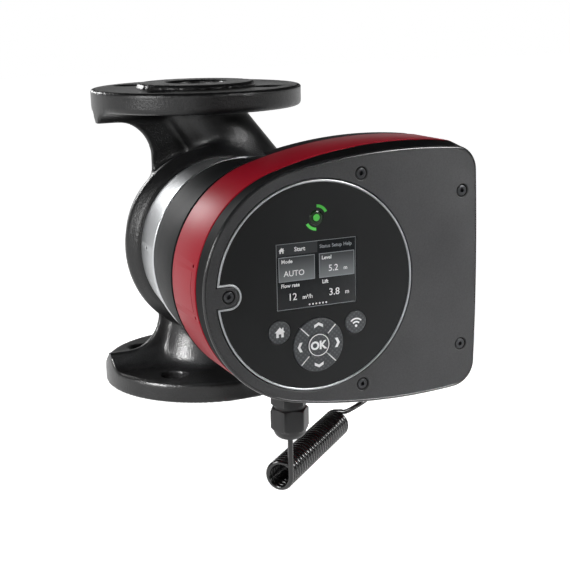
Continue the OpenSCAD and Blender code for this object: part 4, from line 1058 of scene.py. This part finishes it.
signTop = dishTop + 0.05
homeSign = shifted(prism(house, dishTop, signTop), *homeAt)
piece("home_sign", homeSign, "print", body="home_button")
waves = [prism(bow(r, r + 0.95, math.pi / 4, 3 * math.pi / 4, 15), dishTop, signTop) for r in (2.4, 4.4)]
waves.append(prism(disc(0.85, 16, (0, 0.4)), dishTop, signTop))
wirelessSign = shifted(joined(*waves), keys["sideX"], keys["sideY"] - 2.6)
piece("wireless_sign", wirelessSign, "print", body="wireless_button")
guide = {"half": 0.26, "from": okR + 1.6, "to": keys["padR"] - 0.3}  # pale light guides between the four arms
guideLine = [(guide["from"], -guide["half"]), (guide["to"], -guide["half"]), (guide["to"], guide["half"]),
             (guide["from"], guide["half"])]
guides = [prism(onPad(guideLine, turn), under - 2.4, keyTop - 0.1) for turn in (45, 135, 225, 315)]
piece("key_light_guides", joined(*guides), "print")
print("panel made")


# cable gland under the head: body and nut; depths run down from the motor axis
gland = {"bodyTall": 8.5, "nutTall": 14, "domeTall": 6.4, "turn": 40, "bodyHex": 10.48, "nutHex": 10.83,
         "neckR": 9.9, "threadR": 7, "threadLong": 20, "domeR": 6.3, "domeIn": 4.2, "boreR": 2.4,
         "sides": 144}
nutTop = glandSeat + gland["bodyTall"]
nutLow = nutTop + gland["nutTall"]
nutEnd = nutLow + gland["domeTall"]
sides, boreR = gland["sides"], gland["boreR"]
bodySteps = [(11.2, glandSeat + 0.2), (12.1, glandSeat + 0.8), (12.1, nutTop - 3.2), (11.3, nutTop - 2.4)]
bodyRings = hexRings(gland["bodyHex"], bodySteps, sides, gland["turn"])
bodyRings += [circle(gland["neckR"], d, sides) for d in (nutTop - 2.2, nutTop + 0.4)]
threadTop, threadLow = glandSeat - gland["threadLong"], glandSeat + 0.6
thread = hoop(rounded([(gland["threadR"], threadTop, 0.3), (gland["neckR"], threadTop, 0.6),
                       (gland["neckR"], threadLow, 0), (gland["threadR"], threadLow, 0)], 2), 64)
glandBody = joined(loft(bodyRings), thread)
piece("gland_body_moulded", glandBody, "nylon", ["gland_body"], place=inGland)
nutSteps = [(10.9, nutTop), (11.5, nutTop + 0.4), (12.5, nutTop + 1.4), (12.5, nutLow - 1.4),
            (11.6, nutLow - 0.3)]
domeSteps = [(gland["domeIn"] + x, nutLow + y) for x, y in arc(gland["domeR"], 0.15, math.pi / 2, 9)]
domeSteps += [(3.2, nutEnd), (boreR, nutEnd - 0.6), (boreR, nutEnd - 5)]
nutRings = hexRings(gland["nutHex"], nutSteps, sides, gland["turn"])
nutRings += [circle(r, d, sides) for r, d in domeSteps]
piece("gland_nut_moulded", loft(nutRings), "nylon", ["gland_nut"], place=inGland)
print("gland made")


# sensor on the housing, with its clip and plug; lengths run out along its axis
boss = sensor["boss"]
hexagon = loft(hexRings(10.8, [(11.4, boss), (12.5, boss + 0.7), (12.5, boss + 4.3), (11.4, boss + 5)]))
barrel = bar([(9, boss + 4), (9, boss + 16, 0.7), (6.1, boss + 16, 0.3), (6.1, boss + 13.2)], 72, steps=3)
stem = bar([(5.6, 44), (5.9, 44.6), (5.9, boss + 1)], 48)
sensorBody = joined(hexagon, barrel, stem)
piece("sensor_body_steel", sensorBody, "stainless", ["sensor_body"], place=onSensor)
clipProfile = rounded([(9.02, boss + 8, 0.3), (10.4, boss + 8, 0.5), (10.4, boss + 10, 0.5),
                       (9.02, boss + 10, 0.3)], 2)
piece("sensor_clip_ring", hoop(clipProfile, 72), "zinc", ["sensor_clip"], place=onSensor)
plug = bar([(5.8, boss + 13.2, 0.2), (5.8, boss + 16.05), (8.4, boss + 16.05, 0.5), (8.4, boss + 25, 1),
            (6, boss + 25), (4.9, boss + 28.5, 0.4), (3.4, sensor["plug"], 0.5)], 72)
piece("sensor_plug_moulded", plug, "nylon", ["sensor_plug"], place=onSensor)

# inner nodes keep their own shape and get their finish
inner = {"stainless": ["neck_ring", "bearing_plate", "shaft", "impeller_nut", "rotor_can"],
         "gasketPaper": ["plate_gasket"], "carbon": ["pump_bearing", "thrust_ring", "far_bearing"],
         "composite": ["impeller"], "lamination": ["rotor", "stator_core"], "copper": ["windings"],
         "rubber": ["can_oring", "keypad_mat", "gland_seal", "sensor_oring"],
         "board": ["power_board", "display_board"], "nylon": ["capacitors", "gland_locknut"],
         "terminal": ["terminal_block"]}
for key, names in inner.items():
    for name in names:
        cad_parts[name].data.materials.clear()
        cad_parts[name].data.materials.append(finish[key])
print("inner nodes dressed")
